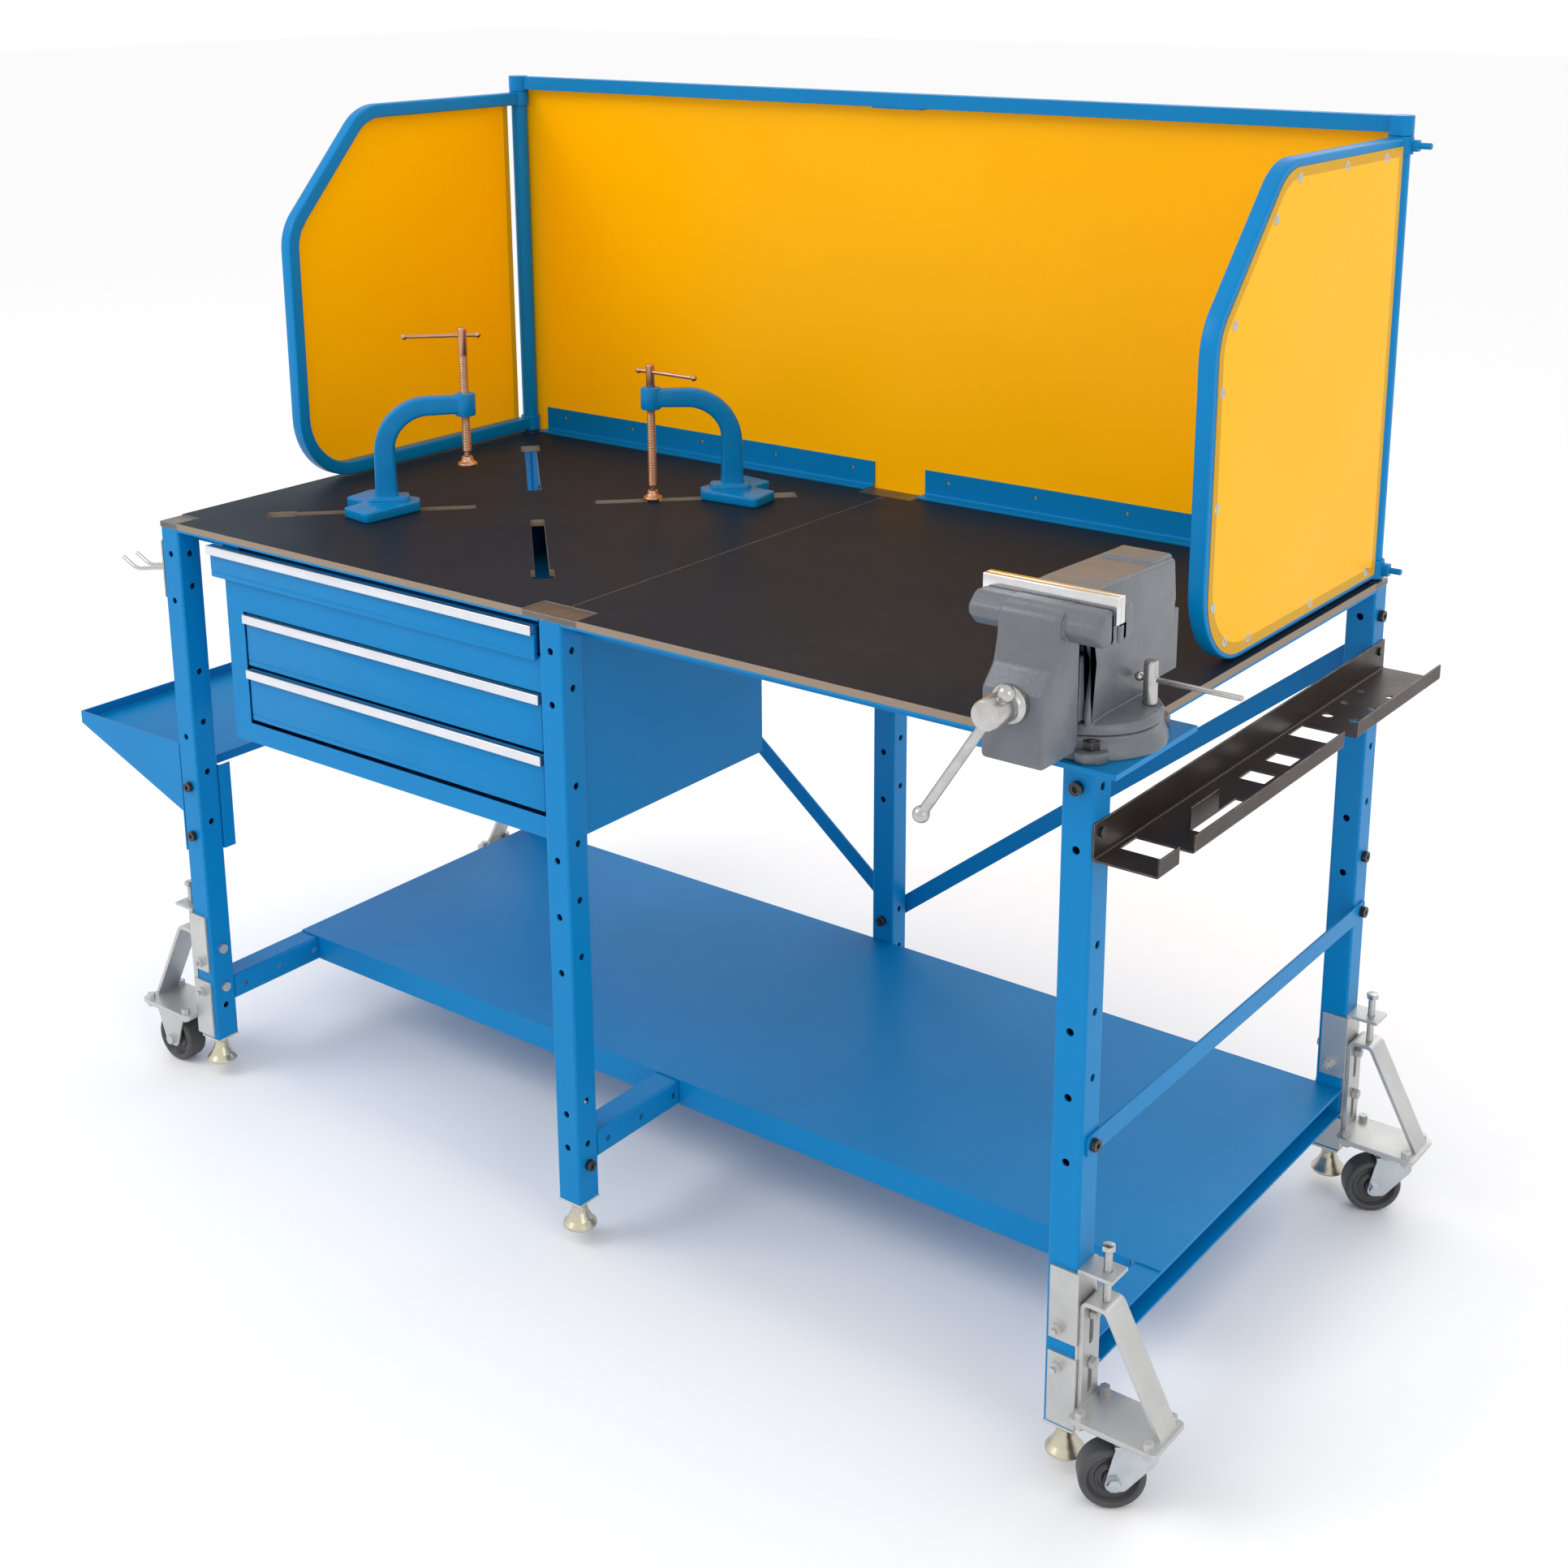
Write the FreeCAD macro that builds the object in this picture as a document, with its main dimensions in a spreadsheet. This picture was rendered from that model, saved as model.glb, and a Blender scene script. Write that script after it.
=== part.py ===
import FreeCAD, Part
import math
import os
import re

import Sketcher

# Steel welding workbench: two thick plates on six legs, drawers, screens, clamps, a vise and jacking casters.
# Frame: origin on the floor under the middle of the bench, +X along the bench to its vise end,
# -Y towards the drawers' side where the welder stands, +Z up.  All sizes in millimetres.

doc = FreeCAD.newDocument("WeldingBench")
Vector = FreeCAD.Vector

# ------------------------------------------------------------------ driving sizes
DRIVING_SIZES = [
    ("bench_length", 1524.0, "overall length of the two table plates"),
    ("bench_depth", 762.0, "overall depth of the table plates"),
    ("table_top", 880.0, "height of the working surface"),
    ("plate_thick", 9.5, "thickness of the table plates"),
    ("seam_gap", 1.0, "joint between the two plates"),
    ("cap_thick", 8.0, "thickness of the bare plates on the leg tops"),
    ("middle_cap_half", 45.0, "half the width of a middle leg's cap"),
    ("leg_width", 38.1, "outside width of a leg's square tube"),
    ("leg_wall", 2.5, "wall of a leg"),
    ("leg_bottom", 65.0, "height of the legs' lower end"),
    ("leg_hole", 9.5, "diameter of the row of holes up each leg"),
    ("rail_thick", 3.0, "thickness of the top frame's angle"),
    ("rail_depth", 22.0, "height of the top frame's angle"),
    ("shelf_top", 160.0, "height of the lower shelf"),
    ("shelf_front", -178.0, "front edge of the lower shelf"),
    ("shelf_sheet", 2.0, "thickness of the shelf's sheet"),
    ("beam_height", 38.0, "height of the lower cross channels"),
    ("beam_wall", 3.0, "thickness of the lower cross channels"),
    ("strap_width", 25.0, "width of the flat braces"),
    ("strap_thick", 3.0, "thickness of the flat braces"),
    ("cabinet_left", -641.0, "left side of the drawer cabinet"),
    ("cabinet_right", 3.0, "right side of the drawer cabinet"),
    ("cabinet_back", 38.0, "back of the drawer cabinet"),
    ("cabinet_front", -368.0, "front face of the drawer cabinet"),
    ("cabinet_bottom", 572.0, "underside of the drawer cabinet"),
    ("cabinet_top", 864.0, "top edge of the drawer cabinet"),
    ("sheet_thick", 1.5, "sheet of the cabinet"),
    ("drawer_sheet", 1.2, "sheet of the drawers"),
    ("tray_length", 762.0, "length of the scrap tray"),
    ("rack_length", 762.0, "length of the torch rack"),
    ("rack_thick", 2.0, "sheet of the torch rack"),
    ("post_radius", 12.7, "radius of the screen posts"),
    ("post_x", 745.0, "screen post's distance from the middle"),
    ("post_y", 366.0, "screen posts' distance behind the middle"),
    ("screen_top", 1466.0, "top of the rear screen's rail"),
    ("screen_tube", 20.0, "square tube of the screens"),
    ("collar_radius", 16.0, "outside radius of the hinge collars"),
    ("curtain_thick", 1.2, "thickness of the screens' film"),
    ("fit_gap", 0.1, "radial clearance of a running fit"),
    ("loose_gap", 0.4, "radial clearance of a loose fit"),
    ("slot_width", 19.0, "width of the clamp slots"),
    ("slot_end_width", 30.0, "width of the slots' outer ends"),
    ("slot_centre_x", -385.0, "middle of the four clamp slots"),
    ("clamp_arm", 32.0, "depth of a clamp's arm"),
    ("clamp_arm_width", 26.0, "width of a clamp's arm"),
    ("clamp_base_thick", 15.0, "thickness of a clamp's foot"),
    ("clamp_boss_radius", 15.0, "radius of a clamp's boss"),
    ("clamp_boss_height", 33.0, "height of a clamp's boss"),
    ("clamp_boss_top", 170.0, "top of a clamp's boss above the table"),
    ("clamp_screw_radius", 6.4, "radius of a clamp's screw"),
    ("clamp_screw_length", 188.0, "length of a clamp's screw above its shoe"),
    ("clamp_bar_radius", 2.8, "radius of a clamp's sliding bar"),
    ("clamp_bar_length", 104.0, "clamp bar's length between its balls"),
    ("vise_plate_thick", 6.0, "thickness of the plate under the vise"),
    ("vise_jaw_width", 152.0, "width of the vise's jaws"),
    ("vise_base_radius", 80.0, "radius of the vise's swivel base"),
    ("vise_base_height", 24.0, "height of the vise's swivel base"),
    ("vise_spindle_radius", 12.0, "radius of the vise's spindle"),
    ("vise_handle_radius", 5.5, "radius of the vise's handle"),
    ("wheel_radius", 38.0, "radius of a caster wheel"),
    ("wheel_width", 32.0, "width of a caster wheel"),
    ("axle_radius", 5.0, "radius of a caster's axle"),
    ("caster_height", 95.0, "height of a caster over its top plate"),
    ("caster_trail", 22.0, "offset of a swivel caster's wheel"),
    ("carriage_plate", 5.0, "thickness of a caster carriage's steel"),
    ("carriage_length", 110.0, "length of a caster carriage's plate"),
    ("carriage_width", 72.0, "width of a caster carriage's plate"),
    ("bracket_thick", 4.0, "thickness of a caster bracket"),
    ("bracket_top", 272.0, "top of a caster bracket"),
    ("bracket_bottom", 70.0, "bottom of a caster bracket"),
    ("jack_radius", 4.8, "radius of a jack bolt"),
    ("foot_radius", 23.0, "radius of a levelling foot"),
    ("foot_height", 22.0, "underside of the levelling feet above the floor"),
    ("foot_stem_radius", 6.0, "radius of a levelling foot's stem"),
]
sheet = doc.addObject("Spreadsheet::Sheet", "Sizes")
for row, (alias, value, note) in enumerate(DRIVING_SIZES, 1):
    sheet.set(f"A{row}", note)
    sheet.set(f"B{row}", str(value))
    sheet.setAlias(f"B{row}", alias)
doc.recompute()
S = {alias: float(sheet.get(alias)) for alias, value, note in DRIVING_SIZES}

HALF_LENGTH = S["bench_length"] / 2
HALF_DEPTH = S["bench_depth"] / 2
HALF_LEG = S["leg_width"] / 2
LEG_X = HALF_LENGTH - HALF_LEG
LEG_Y = HALF_DEPTH - HALF_LEG
PLATE_UNDER = S["table_top"] - S["plate_thick"]
nodes = {}


# ------------------------------------------------------------------ helpers
def bind(thing, prop, expression):
    """Tie one property to an expression in which every sheet alias is a plain word."""
    text = re.sub(r"[a-z][a-z0-9_]*", lambda m: "Sizes." + m.group() if m.group() in S else m.group(),
                  str(expression))
    thing.setExpression(prop, text)


def place(thing, x=0.0, y=0.0, z=0.0, turn=None):
    """Put an object at x, y, z (expressions or numbers), turned by an optional rotation."""
    thing.Placement = FreeCAD.Placement(Vector(0, 0, 0), turn or FreeCAD.Rotation())
    for axis, value in zip("xyz", (x, y, z)):
        bind(thing, "Placement.Base." + axis, value)
    return thing


def box(x0, y0, z0, length, width, height):
    """A block from its lowest corner and its three sizes, all expressions."""
    thing = doc.addObject("Part::Box", "Block")
    bind(thing, "Length", length)
    bind(thing, "Width", width)
    bind(thing, "Height", height)
    return place(thing, x0, y0, z0)


TURNS = {"+Z": FreeCAD.Rotation(), "-Z": FreeCAD.Rotation(Vector(1, 0, 0), 180),
         "+X": FreeCAD.Rotation(Vector(0, 1, 0), 90), "-X": FreeCAD.Rotation(Vector(0, 1, 0), -90),
         "+Y": FreeCAD.Rotation(Vector(1, 0, 0), -90), "-Y": FreeCAD.Rotation(Vector(1, 0, 0), 90)}


def cylinder(x, y, z, radius, height, axis="+Z"):
    """A round bar from the middle of one end, along an axis or a direction vector."""
    thing = doc.addObject("Part::Cylinder", "Bar")
    bind(thing, "Radius", radius)
    bind(thing, "Height", height)
    turn = TURNS[axis] if isinstance(axis, str) else FreeCAD.Rotation(Vector(0, 0, 1), axis)
    return place(thing, x, y, z, turn)


def cone(x, y, z, radius_low, radius_high, height, axis="+Z"):
    """A cone from the middle of its first end."""
    thing = doc.addObject("Part::Cone", "Taper")
    bind(thing, "Radius1", radius_low)
    bind(thing, "Radius2", radius_high)
    bind(thing, "Height", height)
    return place(thing, x, y, z, TURNS[axis])


def ball(x, y, z, radius):
    thing = doc.addObject("Part::Sphere", "Ball")
    bind(thing, "Radius", radius)
    return place(thing, x, y, z)


def hexagon(x, y, z, across, height, axis="+Z"):
    """A hexagonal nut or bolt head from the middle of one face; across is its width over flats."""
    thing = doc.addObject("Part::Prism", "Hexagon")
    thing.Polygon = 6
    bind(thing, "Circumradius", f"({across}) / 1.7320508")
    bind(thing, "Height", height)
    return place(thing, x, y, z, TURNS[axis])


def fuse(*things):
    result = doc.addObject("Part::MultiFuse", "Joined")
    result.Shapes = list(things)
    return result


def cut(base, *tools):
    result = doc.addObject("Part::Cut", "Cut")
    result.Base = base
    result.Tool = tools[0] if len(tools) == 1 else fuse(*tools)
    return result


def group(*things):
    """Several separate solids that share one node."""
    result = doc.addObject("Part::Compound", "Set")
    result.Links = list(things)
    return result


def node(label, thing):
    """Name a finished sub-part; its label is its node and file name."""
    thing.Label = label
    nodes[label] = thing
    return thing


def rounded_outline(points, radii):
    """Closed chain of lines and tangent arcs through 2-D corner points with one radius for each corner."""
    count = len(points)
    corners = []
    for i in range(count):
        here = Vector(*points[i], 0)
        before = Vector(*points[i - 1], 0) - here
        after = Vector(*points[(i + 1) % count], 0) - here
        radius = radii[i]
        if radius <= 0:
            corners.append((here, here, here))
            continue
        before.normalize()
        after.normalize()
        half = before.getAngle(after) / 2
        back = radius / math.tan(half)
        bisector = before + after
        bisector.normalize()
        middle = here + bisector * (radius / math.sin(half) - radius)
        corners.append((here + before * back, middle, here + after * back))
    edges = []
    for i in range(count):
        start, middle, end = corners[i]
        if (end - start).Length > 1e-6:
            edges.append(Part.Arc(start, middle, end))
        following = corners[(i + 1) % count][0]
        if (following - end).Length > 1e-6:
            edges.append(Part.LineSegment(end, following))
    return edges


def strip_outline(path, thickness, inner_radii):
    """Outline of a strip bent along a 2-D path: thickness to both sides, its own inner radius at each bend."""
    points = [Vector(*p, 0) for p in path]
    runs = [(points[i + 1] - points[i]).normalize() for i in range(len(points) - 1)]
    left, right, left_radii, right_radii = [], [], [], []
    for i, point in enumerate(points):
        first = runs[max(i - 1, 0)]
        second = runs[min(i, len(runs) - 1)]
        turn = first.x * second.y - first.y * second.x
        normal = Vector(-first.y - second.y, first.x + second.x, 0).normalize()
        reach = thickness / 2 / normal.dot(Vector(-first.y, first.x, 0))
        left.append(point + normal * reach)
        right.append(point - normal * reach)
        bend = 0 < i < len(points) - 1 and abs(turn) > 1e-6
        inner = inner_radii[i - 1] if bend else 0
        outer = inner + thickness if bend else 0
        left_radii.append(inner if turn > 0 else outer)
        right_radii.append(outer if turn > 0 else inner)
    outline = left + right[::-1]
    return rounded_outline([(p.x, p.y) for p in outline], left_radii + right_radii[::-1])


def circle(x, y, radius):
    return [Part.Circle(Vector(x, y, 0), Vector(0, 0, 1), radius)]


def slot(x, y, width, length, along="y"):
    """Round-ended slot about x, y."""
    a, b = (width / 2, length / 2) if along == "y" else (length / 2, width / 2)
    ends = width / 2 - 0.001
    return rounded_outline([(x - a, y - b), (x + a, y - b), (x + a, y + b), (x - a, y + b)], [ends] * 4)


def plane_of(body, role):
    return next(f for f in body.Origin.OriginFeatures if f.Role == role)


def sketch_on(body, role, chains):
    sketch = body.newObject("Sketcher::SketchObject", "Profile")
    sketch.AttachmentSupport = (plane_of(body, role), [""])
    sketch.MapMode = "FlatFace"
    for chain in chains:
        sketch.addGeometry(list(chain), False)
    return sketch


def padded(role, chains, length, holes=()):
    """A body: a profile padded to both sides of an origin plane, then pocketed through.

    XY_Plane sketches are in x, y; XZ_Plane in x, z; YZ_Plane in y, z.
    holes holds (plane role, chains) pairs.
    """
    body = doc.addObject("PartDesign::Body", "Body")
    pad = body.newObject("PartDesign::Pad", "Pad")
    profile = sketch_on(body, role, chains)
    pad.Profile = profile
    bind(pad, "Length", length)
    pad.Midplane = True
    body.Tip = pad
    for hole_role, hole_chains in holes:
        doc.recompute()
        before = body.Shape.Volume
        pocket = body.newObject("PartDesign::Pocket", "Holes")
        pocket.Profile = sketch_on(body, hole_role, hole_chains)
        pocket.Type = "ThroughAll"
        pocket.Midplane = True
        body.Tip = pocket
        doc.recompute()
        if not body.Shape.Volume < before - 1e-3:
            raise RuntimeError("a pocket removed nothing")
    return body


def turned(profile_points, radii=None):
    """A body turned about Z from a closed outline in r, z."""
    body = doc.addObject("PartDesign::Body", "Turned")
    radii = radii or [0] * len(profile_points)
    profile = sketch_on(body, "XZ_Plane", [rounded_outline(profile_points, radii)])
    revolution = body.newObject("PartDesign::Revolution", "Turning")
    revolution.Profile = profile
    revolution.ReferenceAxis = (profile, ["V_Axis"])
    revolution.Angle = 360.0
    body.Tip = revolution
    return body


# ------------------------------------------------------------------ legs, caps and feet
FRONT_HOLES = [145, 194, 397, 475, 553, 762, 832]
SIDE_HOLES = [118, 149, 212, 418, 497, 575, 653, 783, 832]
LEG_SPOTS = {"left": -LEG_X, "middle": 0.0, "right": LEG_X}


def leg(x, y):
    """Square tube with rows of bolt holes through both pairs of walls."""
    outer, wall, radius = S["leg_width"] / 2, S["leg_wall"], S["leg_hole"] / 2
    inner = outer - wall
    square = [(-1, -1), (1, -1), (1, 1), (-1, 1)]
    tube = [rounded_outline([(a * outer, b * outer) for a, b in square], [3.5] * 4),
            rounded_outline([(a * inner, b * inner) for a, b in square], [1.5] * 4)]
    height = PLATE_UNDER - S["leg_bottom"]
    middle = S["leg_bottom"] + height / 2
    front = [circle(0, z - middle, radius) for z in FRONT_HOLES]
    side = [circle(0, z - middle, radius) for z in SIDE_HOLES]
    body = padded("XY_Plane", tube, "table_top - plate_thick - leg_bottom",
                  [("XZ_Plane", front), ("YZ_Plane", side)])
    return place(body, x, y, "(table_top - plate_thick + leg_bottom) / 2")


node("front_legs", group(*[leg(x, -LEG_Y) for x in LEG_SPOTS.values()]))
node("rear_legs", group(*[leg(x, LEG_Y) for x in LEG_SPOTS.values()]))

INSERT_DEPTH = 12.0


def leg_insert(x, y):
    """Plug in a leg's lower end, bored for the foot's stem."""
    side = "leg_width - 2 * leg_wall - 1"
    plug = box(f"{x} - ({side}) / 2", f"{y} - ({side}) / 2", "leg_bottom", side, side, INSERT_DEPTH)
    flange = box(x - HALF_LEG, y - HALF_LEG, "leg_bottom - 3", "leg_width", "leg_width", 3)
    bore = cylinder(x, y, "leg_bottom - 4", "foot_stem_radius + fit_gap", INSERT_DEPTH + 8)
    return cut(fuse(plug, flange), bore)


def end_cap(x, y):
    return box(x - HALF_LEG, y - HALF_LEG, PLATE_UNDER, "leg_width", "leg_width", "cap_thick")


def middle_cap(y):
    """Cap over a middle leg, where the two plates meet, with its inner corners rounded."""
    half = S["middle_cap_half"]
    inner_radius = 9.0
    toward = -1 if y > 0 else 1
    outer_edge = -toward * HALF_LEG
    inner_edge = toward * (HALF_LEG + 1.5)
    outline = rounded_outline([(-half, outer_edge), (half, outer_edge), (half, inner_edge), (-half, inner_edge)],
                              [0, 0, inner_radius, inner_radius])
    return place(padded("XY_Plane", [outline], "cap_thick"), 0, y, PLATE_UNDER + S["cap_thick"] / 2)


spots = [(x, y) for x in LEG_SPOTS.values() for y in (-LEG_Y, LEG_Y)]
node("leg_caps", group(*[end_cap(x, y) for x, y in spots if x], middle_cap(-LEG_Y), middle_cap(LEG_Y),
                       *[leg_insert(x, y) for x, y in spots]))


def levelling_foot(x, y):
    """Flared disc foot with a locking nut on a threaded stem that reaches up into the leg."""
    base, stem = S["foot_radius"], S["foot_stem_radius"]
    nut_across = 19.0
    body = turned([(0, 0), (base, 0), (base, 4), (base - 7, 8), (11, 20), (9.5, 30), (stem, 30),
                   (stem, 78), (0, 78)], [0, 1.5, 2, 0, 0, 0, 0, 0, 0])
    place(body, x, y, "foot_height")
    nut = hexagon(x, y, "foot_height + 29", nut_across, 9)
    return fuse(body, nut)


for side, x in LEG_SPOTS.items():
    node(f"front_{side}_foot", levelling_foot(x, -LEG_Y))
    node(f"rear_{side}_foot", levelling_foot(x, LEG_Y))


# ------------------------------------------------------------------ top frame and table plates
def rail_along_x(x0, x1, edge):
    """Angle under a long edge: flat flange against the plate, web at its inner side."""
    inward = 1 if edge < 0 else -1
    low = min(edge, edge + inward * S["leg_width"])
    web_y = edge + inward * S["leg_width"] - (S["rail_thick"] if inward > 0 else 0)
    flange = box(x0, low, PLATE_UNDER - S["rail_thick"], x1 - x0, "leg_width", "rail_thick")
    web = box(x0, web_y, PLATE_UNDER - S["rail_depth"], x1 - x0, "rail_thick", "rail_depth")
    return fuse(flange, web)


def rail_along_y(y0, y1, low_x, web_x):
    flange = box(low_x, y0, PLATE_UNDER - S["rail_thick"], "leg_width", y1 - y0, "rail_thick")
    web = box(web_x, y0, PLATE_UNDER - S["rail_depth"], "rail_thick", y1 - y0, "rail_depth")
    return fuse(flange, web)


inner_y = HALF_DEPTH - S["leg_width"]
leg_side = LEG_X - HALF_LEG
frame_rails = []
for edge in (-HALF_DEPTH, HALF_DEPTH):
    frame_rails.append(rail_along_x(-leg_side, -HALF_LEG, edge))
    frame_rails.append(rail_along_x(HALF_LEG, leg_side, edge))
frame_rails.append(rail_along_y(-inner_y, inner_y, -HALF_LENGTH, -HALF_LENGTH + S["leg_width"] - S["rail_thick"]))
frame_rails.append(rail_along_y(-inner_y, inner_y, leg_side, leg_side))
frame_rails.append(rail_along_y(-inner_y, inner_y, -HALF_LEG, HALF_LEG - S["rail_thick"]))
node("top_frame", group(*frame_rails))


SLOT_INNER, SLOT_NECK, SLOT_OUTER = 87.0, 345.0, 385.0


def clamp_slot(angle):
    """T-shaped slot that runs outward from the slots' common middle at an angle in degrees."""
    narrow, wide = S["slot_width"] / 2, S["slot_end_width"] / 2
    along = [(SLOT_INNER, -narrow), (SLOT_NECK, -narrow), (SLOT_NECK, -wide), (SLOT_OUTER, -wide),
             (SLOT_OUTER, wide), (SLOT_NECK, wide), (SLOT_NECK, narrow), (SLOT_INNER, narrow)]
    c, s = math.cos(math.radians(angle)), math.sin(math.radians(angle))
    outline = [(S["slot_centre_x"] + u * c - v * s, u * s + v * c) for u, v in along]
    return rounded_outline(outline, [0] * 8)


def table_plate(side):
    """One table plate: square notches at its outer corners and at the middle caps."""
    outer = side * HALF_LENGTH
    seam = side * S["seam_gap"] / 2
    notch_x = outer - side * S["leg_width"]
    cap_x = side * (S["middle_cap_half"] + 0.3)
    notch_y = HALF_DEPTH - S["leg_width"] - 0.3
    cap_y = notch_y - 1.5
    outline = [(seam, -cap_y), (cap_x, -cap_y), (cap_x, -HALF_DEPTH), (notch_x - side * 0.3, -HALF_DEPTH),
               (notch_x - side * 0.3, -notch_y), (outer, -notch_y), (outer, notch_y),
               (notch_x - side * 0.3, notch_y), (notch_x - side * 0.3, HALF_DEPTH), (cap_x, HALF_DEPTH),
               (cap_x, cap_y), (seam, cap_y)]
    holes = [("XY_Plane", [clamp_slot(a) for a in (45, 135, 225, 315)])] if side < 0 else []
    body = padded("XY_Plane", [rounded_outline(outline, [0] * 12)], "plate_thick", holes)
    return place(body, 0, 0, "table_top - plate_thick / 2")


node("left_table_plate", table_plate(-1))
node("right_table_plate", table_plate(1))


# ------------------------------------------------------------------ lower channels, shelf and braces
def lower_channel(x, web_side):
    """Channel between a front and a rear leg, open away from its web, with holes along the web."""
    half_w, half_h, wall = HALF_LEG, S["beam_height"] / 2, S["beam_wall"]
    open_x = -web_side * half_w
    web_x = web_side * (half_w - wall / 2)
    mid_h = half_h - wall / 2
    section = strip_outline([(open_x, mid_h), (web_x, mid_h), (web_x, -mid_h), (open_x, -mid_h)], wall, [2, 2])
    centre = (S["shelf_top"] - S["shelf_sheet"]) - half_h
    holes = [circle(y, 0, 4.75) for y in (-323, -255, -187, 0, 187, 255, 323)]
    body = padded("XZ_Plane", [section], 2 * inner_y, [("YZ_Plane", holes)])
    return place(body, x, 0, centre)


node("lower_channels", group(lower_channel(-LEG_X, 1), lower_channel(0, 1), lower_channel(LEG_X, -1)))

shelf_depth = inner_y - S["shelf_front"]
shelf_parts = [box(-HALF_LENGTH, "shelf_front", "shelf_top - shelf_sheet", "bench_length", shelf_depth,
                   "shelf_sheet")]
for x0, x1 in ((-leg_side + 2, -HALF_LEG - 2), (HALF_LEG + 2, leg_side - 2)):
    for y0 in (S["shelf_front"], inner_y - S["shelf_sheet"]):
        shelf_parts.append(box(x0, y0, "shelf_top - beam_height", x1 - x0, "shelf_sheet", "beam_height"))
node("lower_shelf", fuse(*shelf_parts))


def strap(length, hole_spacing):
    """Flat brace with rounded ends and a bolt hole near each end, lying along X in the XZ plane."""
    half, rise = length / 2, S["strap_width"] / 2
    outline = rounded_outline([(-half, -rise), (half, -rise), (half, rise), (-half, rise)], [5] * 4)
    return padded("XZ_Plane", [outline, circle(-hole_spacing / 2, 0, 4.75), circle(hole_spacing / 2, 0, 4.75)],
                  "strap_thick")


BRACE_LOW, BRACE_HIGH, SIDE_BRACE = 205.0, 789.0, 418.0
BRACE_FOOT_X = 8.0
brace_run = LEG_X - BRACE_FOOT_X
brace_rise = BRACE_HIGH - BRACE_LOW
brace_length = math.hypot(brace_run, brace_rise)
braces = []
for side in (-1, 1):
    brace = strap(brace_length + 16, brace_length)
    lean = -math.degrees(math.atan2(brace_rise, side * brace_run))
    place(brace, side * (LEG_X + BRACE_FOOT_X) / 2,
          f"bench_depth / 2 + strap_thick * {0.5 if side < 0 else 1.5}",
          (BRACE_LOW + BRACE_HIGH) / 2, FreeCAD.Rotation(Vector(0, 1, 0), lean))
    braces.append(brace)
side_brace = strap(2 * LEG_Y + 22, 2 * LEG_Y)
place(side_brace, "bench_length / 2 + strap_thick / 2", 0, SIDE_BRACE, FreeCAD.Rotation(Vector(0, 0, 1), 90))
braces.append(side_brace)
node("flat_braces", group(*braces))


# ------------------------------------------------------------------ drawer cabinet
DRAWER_LEFT, DRAWER_RIGHT, DRAWER_BACK = -604.0, -30.0, 28.0
OPENING_BOTTOM, OPENING_TOP, TOP_OPENING = 601.0, 768.0, 816.0
cab_l, cab_r, cab_f, cab_b = S["cabinet_left"], S["cabinet_right"], S["cabinet_front"], S["cabinet_back"]
neck_x, neck_y = -HALF_LEG - 0.8, -inner_y + 1.0


def cabinet_outline(inset):
    """Plan of the cabinet, stepped round the middle leg, moved in by inset."""
    return rounded_outline([(cab_l + inset, cab_f + inset), (neck_x - inset, cab_f + inset),
                            (neck_x - inset, neck_y + inset), (cab_r - inset, neck_y + inset),
                            (cab_r - inset, cab_b - inset), (cab_l + inset, cab_b - inset)], [0] * 6)


shell_outside = place(padded("XY_Plane", [cabinet_outline(0)], "cabinet_top - cabinet_bottom"), 0, 0,
                      "(cabinet_top + cabinet_bottom) / 2")
shell_inside = place(padded("XY_Plane", [cabinet_outline(S["sheet_thick"])], "cabinet_top - cabinet_bottom"), 0, 0,
                     "(cabinet_top + cabinet_bottom) / 2 + sheet_thick")
mouth_width = DRAWER_RIGHT - DRAWER_LEFT + 4
lower_mouth = box(DRAWER_LEFT - 2, "cabinet_front - 1", OPENING_BOTTOM, mouth_width, 6, OPENING_TOP - OPENING_BOTTOM)
upper_mouth = box(DRAWER_LEFT - 2, "cabinet_front - 1", TOP_OPENING, mouth_width, 6, 100)
rail_notch = box(cab_l - 5, -inner_y - 4, PLATE_UNDER - S["rail_depth"] - 1, cab_r - cab_l + 10, 5, 30)
shell = cut(shell_outside, shell_inside, lower_mouth, upper_mouth, rail_notch)
RUNNER_LEVELS = {"top": 824.0, "middle": 706.0, "bottom": 624.0}
RUNNER_HEIGHT = 20.0
runners = []
for level in RUNNER_LEVELS.values():
    runners.append(box(cab_l + 1, cab_f + 6, level, DRAWER_LEFT - 0.5 - cab_l - 1, 380, RUNNER_HEIGHT))
    runners.append(box(DRAWER_RIGHT + 0.5, neck_y + 6, level, cab_r - 1 - DRAWER_RIGHT - 0.5, 360, RUNNER_HEIGHT))
node("cabinet_shell", fuse(shell, *runners))


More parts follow.
